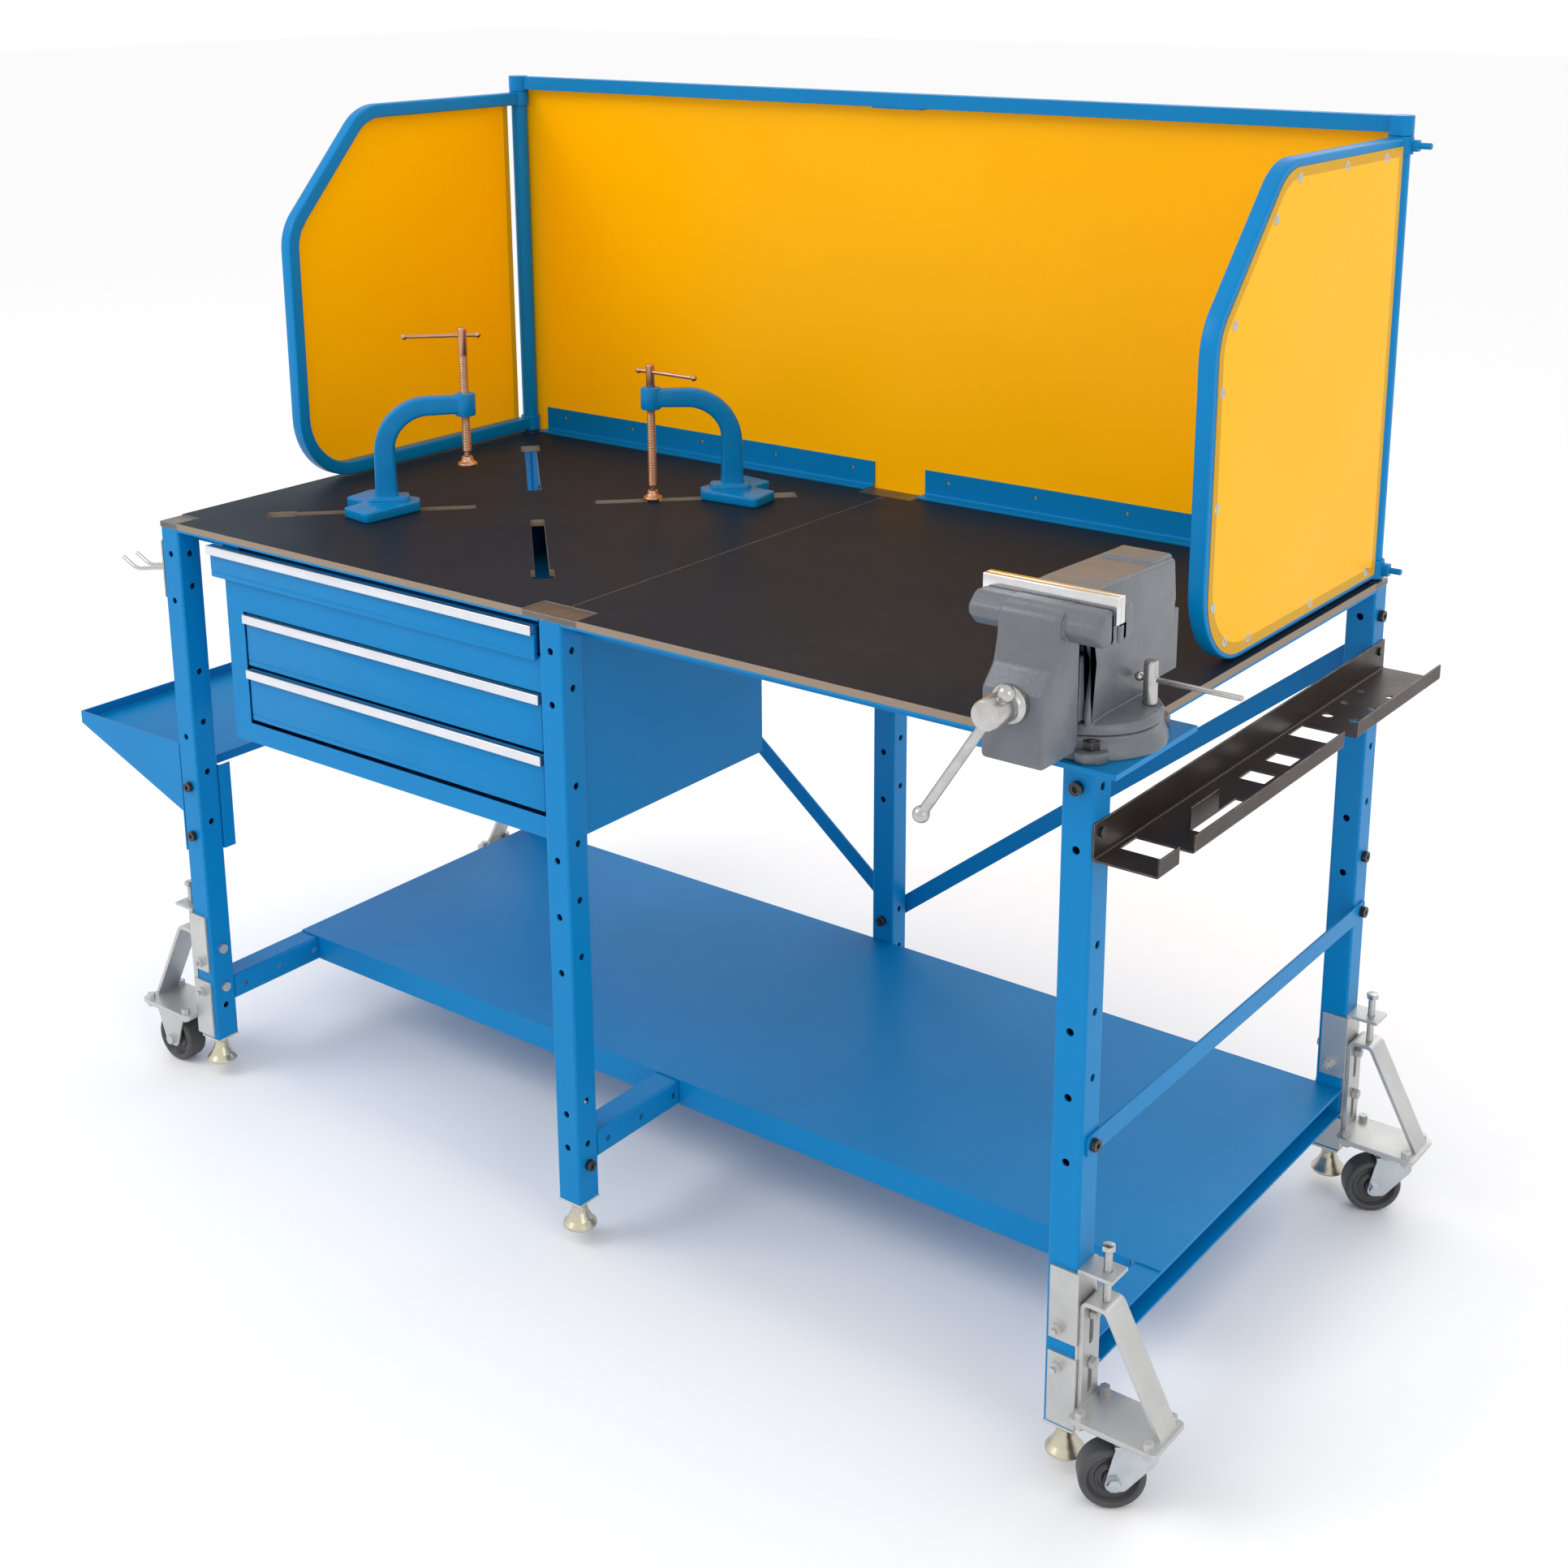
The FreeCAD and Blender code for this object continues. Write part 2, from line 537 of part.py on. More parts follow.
def drawer(floor_z, wall_height, front_left, front_bottom, front_height, front_y, front_thick):
    """Open steel drawer with a folded front and an aluminium pull along the front's top edge."""
    skin = S["drawer_sheet"]
    width, depth = DRAWER_RIGHT - DRAWER_LEFT, DRAWER_BACK - (front_y + front_thick)
    outside = box(DRAWER_LEFT, front_y + front_thick, floor_z, width, depth, wall_height)
    inside = box(DRAWER_LEFT + skin, front_y + front_thick + skin, floor_z + skin, width - 2 * skin,
                 depth - 2 * skin, wall_height)
    front = box(front_left, front_y, front_bottom, DRAWER_RIGHT - 2 - front_left, front_thick, front_height)
    pull_height, pull_depth = 13.0, 7.0
    top = front_bottom + front_height
    pull_body = box(front_left, front_y - pull_depth, top - pull_height, DRAWER_RIGHT - 2 - front_left,
                    pull_depth, pull_height)
    finger_groove = box(front_left - 1, front_y - pull_depth + 2, top - pull_height - 1,
                        DRAWER_RIGHT - front_left, pull_depth, pull_height - 2)
    return group(fuse(cut(outside, inside), front), cut(pull_body, finger_groove))


node("top_drawer", drawer(818, 28, -661, 812, 47, cab_f - 8, 7))
node("middle_drawer", drawer(692, 60, DRAWER_LEFT, 688, 77, cab_f + 1.5, 6))
node("bottom_drawer", drawer(610, 60, DRAWER_LEFT, 606, 77, cab_f + 1.5, 6))

# ------------------------------------------------------------------ scrap tray at the left end
TRAY_OUT, TRAY_RIM, TRAY_OUTER_FLOOR, TRAY_INNER_FLOOR = -1000.0, 538.0, 521.0, 484.0
TRAY_LIP, GUSSET_FOOT = 499.0, 431.0
tray_wall = 2.0
tray_in = -HALF_LENGTH - 2.2
half_wall = tray_wall / 2
pan = padded("XZ_Plane", [strip_outline([(TRAY_OUT + half_wall, TRAY_RIM), (TRAY_OUT + half_wall, TRAY_OUTER_FLOOR),
                                         (tray_in - half_wall, TRAY_INNER_FLOOR), (tray_in - half_wall, TRAY_LIP)],
                                        tray_wall, [2, 2])], f"tray_length - {2 * tray_wall}")
tray_parts = [pan]
gusset_outline = rounded_outline([(TRAY_OUT, TRAY_RIM), (TRAY_OUT, TRAY_RIM - 19), (tray_in, GUSSET_FOOT),
                                  (tray_in, TRAY_RIM)], [0] * 4)
for side in (-1, 1):
    end_wall = padded("XZ_Plane", [gusset_outline], tray_wall)
    tray_parts.append(place(end_wall, 0, side * (HALF_DEPTH - half_wall), 0))
    low_y = -HALF_DEPTH if side < 0 else inner_y
    tray_parts.append(box(tray_in, low_y, 369, 2.2, "leg_width", TRAY_RIM - 369))
    wrap_y = -inner_y if side < 0 else inner_y - 2
    fin_y = -inner_y if side < 0 else inner_y - 20
    tray_parts.append(box(tray_in, wrap_y, 369, S["leg_width"] + 4.2, 2, 132))
    tray_parts.append(box(-leg_side, fin_y, 369, 2, 20, 132))
node("scrap_tray", fuse(*tray_parts))

# ------------------------------------------------------------------ cable hooks on the front left leg
HOOK_RADIUS = 3.0
hook_face = -HALF_LENGTH - 3
hook_parts = [box(hook_face, -HALF_DEPTH, 763, 3, "leg_width", 87)]
for hook_y in (-374.0, -350.0):
    route = [(hook_face + 1, 806), (hook_face - 18, 803), (-829, 794), (-841, 795), (-866, 806)]
    for (x0, z0), (x1, z1) in zip(route, route[1:]):
        run = Vector(x1 - x0, 0, z1 - z0)
        hook_parts.append(cylinder(x0, hook_y, z0, HOOK_RADIUS, run.Length, run))
        hook_parts.append(ball(x1, hook_y, z1, HOOK_RADIUS))
node("cable_hooks", fuse(*hook_parts))

# ------------------------------------------------------------------ torch rack on the right end
RACK_TOP, RACK_SHELF, RACK_LIP, RACK_OUT = 796.0, 755.0, 776.0, 840.0
rack_mid = S["rack_thick"] / 2
rack_in = HALF_LENGTH + rack_mid
rack_section = strip_outline([(rack_in, RACK_TOP), (rack_in, RACK_SHELF + rack_mid),
                              (RACK_OUT - rack_mid, RACK_SHELF + rack_mid), (RACK_OUT - rack_mid, RACK_LIP)],
                             S["rack_thick"], [2, 2])


def patch(x0, x1, y0, y1):
    return rounded_outline([(x0, y0), (x1, y0), (x1, y1), (x0, y1)], [0] * 4)


rack_holes = [patch(771, RACK_OUT + 5, -338, -302), patch(770, RACK_OUT + 5, 78, 118),
              patch(808, 828, -250, -142), patch(784, 815, -84, -52), patch(784, 815, -16, 16)]
rack_holes += [circle(780, 169, 7), circle(816, 169, 7)]
rack_holes += [circle(x, y, 5) for x in (779, 815) for y in (223, 276)]
rack = padded("XZ_Plane", [rack_section], "rack_length", [("XY_Plane", rack_holes)])
torch_tab = box(806, -250, RACK_SHELF + 1, 2, 66, 26)
node("torch_rack", fuse(rack, torch_tab))

# ------------------------------------------------------------------ rear screen
POST_HEIGHT = S["screen_top"] + 1 - S["table_top"]
RAIL_Y = HALF_DEPTH + 1.4 - S["screen_tube"]
RAIL_Z = S["screen_top"] - S["screen_tube"]
SOCKET_HEIGHT = 24.0


def screen_post(side):
    """Round post with a plug in its foot and a socket for the rail at its top."""
    outside = cylinder(f"{side} * post_x", "post_y", "table_top", "post_radius", POST_HEIGHT)
    hollow = cylinder(f"{side} * post_x", "post_y", S["table_top"] - 1, "post_radius - 2", POST_HEIGHT - 3)
    socket_outside = cylinder(f"{side} * post_x", "post_y", S["screen_top"] + 1 - SOCKET_HEIGHT, 15.4,
                              SOCKET_HEIGHT)
    return fuse(cut(outside, hollow), socket_outside)


rail_end = S["post_x"] - 13.5
rail_parts = [box(x0, RAIL_Y, RAIL_Z, rail_end, "screen_tube", "screen_tube") for x0 in (-rail_end, 0)]
joiner_clip = box(-42, RAIL_Y + 0.5, RAIL_Z - 2, 84, "screen_tube - 1", 2)
screen_parts = [fuse(screen_post(-1), rail_parts[0]), fuse(screen_post(1), rail_parts[1]), joiner_clip]
node("rear_screen_frame", group(*screen_parts))

REAR_FILM_Y = HALF_DEPTH + 1.5
node("rear_screen_film", box(-750, REAR_FILM_Y, 868, 1500, "curtain_thick", S["screen_top"] - 4 - 868))


def foot_angle(x0, x1):
    """Angle screwed to the table that pinches the film's lower edge."""
    thick, rise, reach = 2.6, 39.0, 26.0
    section = strip_outline([(HALF_DEPTH + 1.4 - reach, S["table_top"] + thick / 2),
                             (HALF_DEPTH + 1.4 - thick / 2, S["table_top"] + thick / 2),
                             (HALF_DEPTH + 1.4 - thick / 2, S["table_top"] + rise)], thick, [2])
    screws = [circle(x0 + (x1 - x0) * f - (x0 + x1) / 2, S["table_top"] + 25, 2.5)
              for f in (0.06, 0.28, 0.5, 0.72, 0.94)]
    body = padded("YZ_Plane", [section], x1 - x0, [("XZ_Plane", screws)])
    return place(body, (x0 + x1) / 2, 0, 0)


node("rear_foot_angles", group(foot_angle(-718, -46), foot_angle(46, 718)))

# ------------------------------------------------------------------ swinging side screens
SIDE_LOW, SIDE_HIGH = 893.0, 1431.0
SIDE_FRONT, SIDE_KNEE, SIDE_SHOULDER = -126.0, 1266.0, 26.0
collar_reach = S["post_y"] - S["collar_radius"] + 1.5


def side_frame(side):
    """Bent square tube from the lower collar round to the upper one; the post is its hinge pin."""
    tube = S["screen_tube"]
    route = [(collar_reach, SIDE_LOW), (SIDE_FRONT, SIDE_LOW), (SIDE_FRONT, SIDE_KNEE),
             (SIDE_SHOULDER, SIDE_HIGH), (collar_reach, SIDE_HIGH)]
    loop = place(padded("YZ_Plane", [strip_outline(route, tube, [82, 60, 60])], "screen_tube"),
                 f"{side} * post_x", 0, 0)
    parts = [loop]
    for low, height in ((SIDE_LOW - 12, 24), (SIDE_HIGH - 11, 22)):
        parts.append(cylinder(f"{side} * post_x", "post_y", low, "collar_radius", height))
        if side > 0:
            parts.append(box(f"post_x + collar_radius - 3", "post_y - 6", low + 4, 11, 12, height - 8))
            parts.append(cylinder(f"post_x + collar_radius + 7", "post_y", low + height / 2, 4, 17, "+X"))
    bore = cylinder(f"{side} * post_x", "post_y", SIDE_LOW - 20, "post_radius + fit_gap", 600)
    return cut(fuse(*parts), bore)


def side_film(side):
    """Film on the outer face of a side screen's frame."""
    out = 6.0
    outline = rounded_outline([(collar_reach - 3, SIDE_LOW - out), (SIDE_FRONT - out, SIDE_LOW - out),
                               (SIDE_FRONT - out, SIDE_KNEE + 2), (SIDE_SHOULDER - 3, SIDE_HIGH + out),
                               (collar_reach - 3, SIDE_HIGH + out)], [0, 88, 66, 66, 0])
    return place(padded("YZ_Plane", [outline], "curtain_thick"),
                 f"{side} * (post_x + screen_tube / 2 + curtain_thick / 2)", 0, 0)


for side, word in ((-1, "left"), (1, "right")):
    node(f"{word}_screen_frame", side_frame(side))
    node(f"{word}_screen_film", side_film(side))

# ------------------------------------------------------------------ slot clamps
# Each clamp is drawn about its column, over the shank in a slot: local +X points along the arm to the screw.
SCREW_REACH = 118.0
SHANK_RADIUS = 8.5
BAR_OFFSET = 30.0
SHOE_HEIGHT = 15.0


def clamp(word, radius, slot_angle, arm_turn, lift, bar_turn):
    """Cast clamp on a slot: frame on a wedge-shaped foot, screw, shoe and sliding bar.

    radius is the shank's distance from the slots' middle, lift the shoe's height above the table.
    """
    shank_x = S["slot_centre_x"] + radius * math.cos(math.radians(slot_angle))
    shank_y = radius * math.sin(math.radians(slot_angle))
    turn = FreeCAD.Rotation(Vector(0, 0, 1), slot_angle + 180 + arm_turn)
    top = S["table_top"]
    boss_mid = S["clamp_boss_top"] - S["clamp_boss_height"] / 2

    arm_route = [(0, 6), (0, boss_mid - 2), (SCREW_REACH - 8, boss_mid)]
    arm = place(padded("XZ_Plane", [strip_outline(arm_route, S["clamp_arm"], [42])], "clamp_arm_width"),
                shank_x, shank_y, top, turn)
    foot_outline = rounded_outline([(47, -12), (47, 12), (-26, 76), (-61, 30), (-31, 0), (-61, -30), (-26, -76)],
                                   [5, 5, 6, 6, 10, 6, 6])
    foot = place(padded("XY_Plane", [foot_outline], "clamp_base_thick"), shank_x, shank_y,
                 "table_top + clamp_base_thick / 2", turn)
    root = place(padded("XY_Plane", [rounded_outline([(34, -16), (34, 16), (-27, 20), (-27, -20)], [8] * 4)], 22),
                 shank_x, shank_y, top + 11, turn)
    shank = cylinder(shank_x, shank_y, "table_top - plate_thick - 6", SHANK_RADIUS, 20)
    heel = cylinder(shank_x, shank_y, "table_top - plate_thick - 6", 13.5, 5.2)
    screw_spot = turn.multVec(Vector(SCREW_REACH, 0, 0))
    screw_x, screw_y = shank_x + screw_spot.x, shank_y + screw_spot.y
    boss = cylinder(screw_x, screw_y, "table_top + clamp_boss_top - clamp_boss_height", "clamp_boss_radius",
                    "clamp_boss_height")
    bore = cylinder(screw_x, screw_y, top + 60, "clamp_screw_radius + loose_gap", 160)
    node(f"{word}_clamp_frame", cut(fuse(arm, foot, root, shank, heel, boss), bore))

    shoe = turned([(0, 0), (14, 0), (14.5, 4), (8.5, 11), (7.5, SHOE_HEIGHT), (0, SHOE_HEIGHT)])
    node(f"{word}_clamp_shoe", place(shoe, screw_x, screw_y, top + lift))

    screw_low = top + lift + SHOE_HEIGHT + 0.3
    shaft = cylinder(screw_x, screw_y, screw_low + 6, "clamp_screw_radius", "clamp_screw_length - 6")
    neck = cylinder(screw_x, screw_y, screw_low, 4.2, 7)
    bar_z = screw_low + S["clamp_screw_length"] - 11
    bar_direction = FreeCAD.Rotation(Vector(0, 0, 1), bar_turn).multVec(Vector(1, 0, 0))
    eye_start = Vector(screw_x, screw_y, bar_z) - bar_direction * 20
    eye = cylinder(eye_start.x, eye_start.y, bar_z, "clamp_bar_radius + loose_gap", 40, bar_direction)
    node(f"{word}_clamp_screw", cut(fuse(shaft, neck), eye))

    half_bar = S["clamp_bar_length"] / 2
    bar_middle = Vector(screw_x, screw_y, bar_z) + bar_direction * BAR_OFFSET
    end_a = bar_middle - bar_direction * half_bar
    end_b = bar_middle + bar_direction * half_bar
    rod = cylinder(end_a.x, end_a.y, bar_z, "clamp_bar_radius", "clamp_bar_length", bar_direction)
    node(f"{word}_clamp_bar", fuse(rod, ball(end_a.x, end_a.y, bar_z, 4.6), ball(end_b.x, end_b.y, bar_z, 4.6)))


clamp("left", 214.0, 225.0, 0.0, 62.0, 225.0)
clamp("right", 290.0, 45.0, 0.0, 0.3, 0.0)

# ------------------------------------------------------------------ bench vise on its corner plate
VISE_X, VISE_Y = 745.0, -362.0
VISE_FLOOR = S["table_top"] + S["vise_plate_thick"]
VISE_DECK = VISE_FLOOR + S["vise_base_height"]
JAW_LINE = -447.0
JAW_TOP = 1068.0
SPINDLE_Z = 966.0
JAW_FRONT = -520.0
LUG_RADIUS = 74.0
LUG_ANGLES = (-60, 60, 180)
LOCK_X, LOCK_Y, LOCK_BAR_Z = 800.0, -340.0, 951.0
node("vise_mount_plate", box(660, -449, "table_top", 163, 174, "vise_plate_thick"))


def vise_spot(angle, radius):
    return VISE_X + radius * math.cos(math.radians(angle)), VISE_Y + radius * math.sin(math.radians(angle))


base_parts = [cylinder(VISE_X, VISE_Y, VISE_FLOOR, "vise_base_radius - 6", "vise_base_height"),
              cone(VISE_X, VISE_Y, VISE_FLOOR, "vise_base_radius", "vise_base_radius - 6", 14)]
base_bores = []
for lug_angle in LUG_ANGLES:
    lug_x, lug_y = vise_spot(lug_angle, LUG_RADIUS)
    base_parts.append(cylinder(lug_x, lug_y, VISE_FLOOR, 17, 12))
    base_bores.append(cylinder(lug_x, lug_y, VISE_FLOOR + 12, 12.5, 20))
    base_bores.append(cylinder(lug_x, lug_y, VISE_FLOOR - 1, 5.5, 20))
king_hole = cylinder(VISE_X, VISE_Y, VISE_FLOOR - 1, "12 + fit_gap", 60)
node("vise_base", cut(fuse(*base_parts), *base_bores, king_hole))


def vise_block(x_half, y0, y1, z0, z1):
    return box(VISE_X - x_half, y0, z0, 2 * x_half, y1 - y0, z1 - z0)


# The moving jaw's hollow slide runs in the body's tunnel; the spindle runs through both to the nut.
TUNNEL_HALF, TUNNEL_LOW, TUNNEL_HIGH = 27.0, 926.0, 994.0
turntable = cylinder(VISE_X, VISE_Y, VISE_DECK + 0.5, 74, 13)
king_pin = cylinder(VISE_X, VISE_Y, VISE_FLOOR + 2, 12, 30)
body_outline = rounded_outline([(-430, 930), (-286, 922), (-262, 950), (-250, 1012), (-256, 1056), (-398, 1062),
                                (-446.5, 1062), (-446.5, 1020), (-420, 985)], [8, 16, 20, 14, 8, 0, 0, 6, 10])
body_core = place(padded("YZ_Plane", [body_outline], 70), VISE_X, 0, 0)
neck_block = vise_block(34, -428, -296, VISE_DECK + 6, 950)
fixed_head = vise_block(S["vise_jaw_width"] / 2 - 2, -446.5, -418, 1020, 1060)
anvil = vise_block(30, -300, -250, 1046, 1060)
lock_ear = cylinder(LOCK_X, LOCK_Y, VISE_DECK + 0.5, 15, 13)
tunnel = vise_block(TUNNEL_HALF + 0.5, -500, -200, TUNNEL_LOW - 0.5, TUNNEL_HIGH + 0.5)
jaw_notch = vise_block(S["vise_jaw_width"] / 2 + 1, -447, -439, 1040, 1070)
lock_hole = cylinder(LOCK_X, LOCK_Y, VISE_DECK - 2, 4.6, 40)
vise_casting = cut(fuse(turntable, king_pin, body_core, neck_block, fixed_head, anvil, lock_ear),
                   tunnel, jaw_notch, lock_hole)
fixed_jaw_plate = vise_block(S["vise_jaw_width"] / 2, -446.4, -439, 1040.2, JAW_TOP)
# The nut sits inside the tunnel on a web that hangs between the slide's cheeks.
NUT_Y = -300.0
spindle_nut = cut(vise_block(13, NUT_Y - 15, NUT_Y + 15, 946, TUNNEL_HIGH + 1),
                  cylinder(VISE_X, NUT_Y - 20, SPINDLE_Z, "vise_spindle_radius + loose_gap - 2", 40, "+Y"))
node("vise_body", group(fuse(vise_casting, spindle_nut), fixed_jaw_plate))

front_outline = rounded_outline([(JAW_FRONT, 900), (-456, 900), (-448, 912), (-448, 1000), (-448, 1062),
                                 (-492, 1050), (-494, 1020), (-500, 996), (JAW_FRONT, 976)],
                                [6, 6, 4, 0, 0, 10, 12, 12, 8])
front_core = place(padded("YZ_Plane", [front_outline], 70), VISE_X, 0, 0)
moving_head = vise_block(S["vise_jaw_width"] / 2 - 2, -486, -448, 1022, 1056)
slide_outside = vise_block(TUNNEL_HALF, -449, -228, TUNNEL_LOW, TUNNEL_HIGH)
slide_inside = vise_block(TUNNEL_HALF - 9, -440, -220, TUNNEL_LOW + 9, TUNNEL_HIGH + 1)
jaw_seat = vise_block(S["vise_jaw_width"] / 2 + 1, -455, -440, 1040, 1070)
spindle_bore = cylinder(VISE_X, -540, SPINDLE_Z, "vise_spindle_radius + fit_gap", 110, "+Y")
moving_jaw = cut(fuse(front_core, moving_head, slide_outside), slide_inside, jaw_seat, spindle_bore)
moving_jaw_plate = vise_block(S["vise_jaw_width"] / 2, -454.8, -447.2, 1040.2, JAW_TOP)
node("vise_moving_jaw", group(moving_jaw, moving_jaw_plate))

HANDLE_Y = -553.0
handle_lean = Vector(-81, 0, -125).normalize()
spindle_parts = [cylinder(VISE_X, JAW_FRONT - 14, SPINDLE_Z, "vise_spindle_radius", 110, "+Y"),
                 cylinder(VISE_X, -434, SPINDLE_Z, "vise_spindle_radius - 2", 196, "+Y"),
                 cylinder(VISE_X, JAW_FRONT - 0.5, SPINDLE_Z, 20, 8, "-Y"),
                 cylinder(VISE_X, JAW_FRONT - 4, SPINDLE_Z, 16, 46, "-Y")]
eye_from = Vector(VISE_X, HANDLE_Y, SPINDLE_Z) - handle_lean * 30
handle_eye = cylinder(eye_from.x, eye_from.y, eye_from.z, "vise_handle_radius + loose_gap", 60, handle_lean)
node("vise_spindle", cut(fuse(*spindle_parts), handle_eye))

HANDLE_SHORT, HANDLE_LONG, HANDLE_BALL = 25.5, 149.0, 9.0
handle_top = Vector(VISE_X, HANDLE_Y, SPINDLE_Z) - handle_lean * HANDLE_SHORT
handle_end = Vector(VISE_X, HANDLE_Y, SPINDLE_Z) + handle_lean * HANDLE_LONG
node("vise_handle", fuse(cylinder(handle_top.x, HANDLE_Y, handle_top.z, "vise_handle_radius",
                                  HANDLE_SHORT + HANDLE_LONG, handle_lean),
                         ball(handle_top.x, HANDLE_Y, handle_top.z, HANDLE_BALL),
                         ball(handle_end.x, HANDLE_Y, handle_end.z, HANDLE_BALL)))

node("vise_lock_lever", fuse(cylinder(LOCK_X, LOCK_Y, VISE_DECK + 1, 4.4, 20),
                             cylinder(LOCK_X, LOCK_Y, VISE_DECK + 14, 7.5, 47),
                             cylinder(LOCK_X - 13, LOCK_Y, LOCK_BAR_Z, 3, 115, "+X"),
                             ball(LOCK_X - 13, LOCK_Y, LOCK_BAR_Z, 5)))

# ------------------------------------------------------------------ jacking casters
# Drawn for the right side; the left ones are the same with the X direction turned round.
CARRIAGE_GAP = 0.4
STRUT_TOP = 235.0
SLOT_LEVELS = (149.0, 212.0)
CASTER_CENTRE = 68.0
CASTER_SHIFT = -6.0
JACK_REACH = 23.0
JACK_HEAD = 298.0
PLATE_TOP = S["caster_height"] + S["carriage_plate"]


def caster_bracket(side, y):
    """Plate wrapped round a leg's outer corner, with two front tabs and a flange for the jack bolt."""
    face = side * HALF_LENGTH
    thick = S["bracket_thick"]
    low_x = face if side > 0 else face - thick
    rise = S["bracket_top"] - S["bracket_bottom"]
    parts = [box(low_x, y - HALF_LEG, "bracket_bottom", "bracket_thick", "leg_width", rise)]
    flange_x = face if side > 0 else face - 42
    parts.append(box(flange_x, y - HALF_LEG + 1, "bracket_top - bracket_thick", 42, "leg_width - 2",
                     "bracket_thick"))
    tab_x = face + thick - 36 if side > 0 else face - thick
    lower_tab = 90 if y < 0 else 47
    for tab_low, tab_height in ((70, lower_tab), (178, 90)):
        parts.append(box(tab_x, y - HALF_LEG - thick, tab_low, 36, "bracket_thick", tab_height))
        parts.append(box(low_x, y - HALF_LEG - thick, tab_low, "bracket_thick", 5, tab_height))
    jack_x = face + side * (thick + JACK_REACH)
    holes = [cylinder(jack_x, y, S["bracket_top"] - 20, "jack_radius + loose_gap", 40)]
    bolts = []
    for level in SLOT_LEVELS:
        end = face - side * (S["leg_width"] + 6)
        bolts.append(cylinder(end, y, level, 4, S["leg_width"] + 24, "+X" if side > 0 else "-X"))
        nut_x = face + side * (thick + CARRIAGE_GAP + S["carriage_plate"] + 0.5)
        bolts.append(hexagon(nut_x, y, level, 13, 7.5, "+X" if side > 0 else "-X"))
        bolts.append(hexagon(face - side * S["leg_width"], y, level, 13, 6, "-X" if side > 0 else "+X"))
    for level in (145, 194) if y < 0 else (194,):
        bolts.append(cylinder(side * LEG_X, y - HALF_LEG - 18, level, 4, 26, "+Y"))
        bolts.append(hexagon(side * LEG_X, y - HALF_LEG - thick, level, 13, 8, "-Y"))
    return fuse(cut(fuse(*parts), *holes), *bolts)


def caster_carriage(side, y):
    """Slotted upright, sloping strut and plate in one weldment that slides down the bracket."""
    face = HALF_LENGTH + S["bracket_thick"] + CARRIAGE_GAP
    steel = S["carriage_plate"]
    upright_x = face + steel / 2
    far_x = face + S["carriage_length"] - 7
    strip = strip_outline([(upright_x, PLATE_TOP - 1), (upright_x, STRUT_TOP - steel / 2),
                           (face + 32, STRUT_TOP - steel / 2), (far_x, PLATE_TOP - 1)], steel, [5, 6])
    slots = [slot(0, level - 16, 9.2, 46) for level in SLOT_LEVELS]
    upright = padded("XZ_Plane", [strip], "leg_width - 0.6")
    plate_mid = face + S["carriage_length"] / 2
    mirror = FreeCAD.Rotation() if side > 0 else FreeCAD.Rotation(Vector(0, 0, 1), 180)
    slot_cutter = place(padded("YZ_Plane", slots, 8), side * upright_x, y, 0)
    strut = cut(place(upright, 0, y, 0, mirror), slot_cutter)
    half_l, half_w = S["carriage_length"] / 2, S["carriage_width"] / 2
    corners = [(-half_l, -half_w), (half_l, -half_w), (half_l, half_w), (-half_l, half_w)]
    bolt_x, bolt_y = half_l - 13, half_w - 8
    bolt_spots = [(a * bolt_x, b * bolt_y) for a in (-1, 1) for b in (-1, 1)]
    plate = place(padded("XY_Plane", [rounded_outline(corners, [7] * 4)], "carriage_plate"),
                  side * plate_mid, y + CASTER_SHIFT, "caster_height + carriage_plate / 2")
    top_plate = place(padded("XY_Plane", [rounded_outline([(a * 0.97, b * 0.95) for a, b in corners], [6] * 4)], 3),
                      side * plate_mid, y + CASTER_SHIFT, "caster_height - 1.5")
    nuts = []
    for bolt_dx, bolt_dy in bolt_spots:
        spot_x, spot_y = side * plate_mid + bolt_dx, y + CASTER_SHIFT + bolt_dy
        nuts.append(hexagon(spot_x, spot_y, PLATE_TOP, 11, 8))
        nuts.append(hexagon(spot_x, spot_y, S["caster_height"] - 7, 11, 4))
    return [fuse(strut, plate, top_plate, *nuts)]


def fork_cheek(y_out, swivel):
    """One side plate of a fork in the XZ plane, about the wheel's centre line, thickness 3."""
    axle_z = S["wheel_radius"]
    top = S["caster_height"] - (11 if swivel else 3)
    if swivel:
        trail = -S["caster_trail"]
        outline = [(trail - 12, axle_z - 11), (trail + 12, axle_z - 11), (26, top - 20), (26, top), (-20, top),
                   (-24, top - 14)]
        radii = [9, 9, 10, 3, 3, 6]
    else:
        trail = 0.0
        outline = [(-12, axle_z - 11), (12, axle_z - 11), (34, top), (-34, top)]
        radii = [9, 9, 2, 2]
    cheek = padded("XZ_Plane", [rounded_outline(outline, radii)], 3,
                   [("XZ_Plane", [circle(trail, axle_z, S["axle_radius"] + S["fit_gap"])])])
    return place(cheek, 0, y_out, 0)


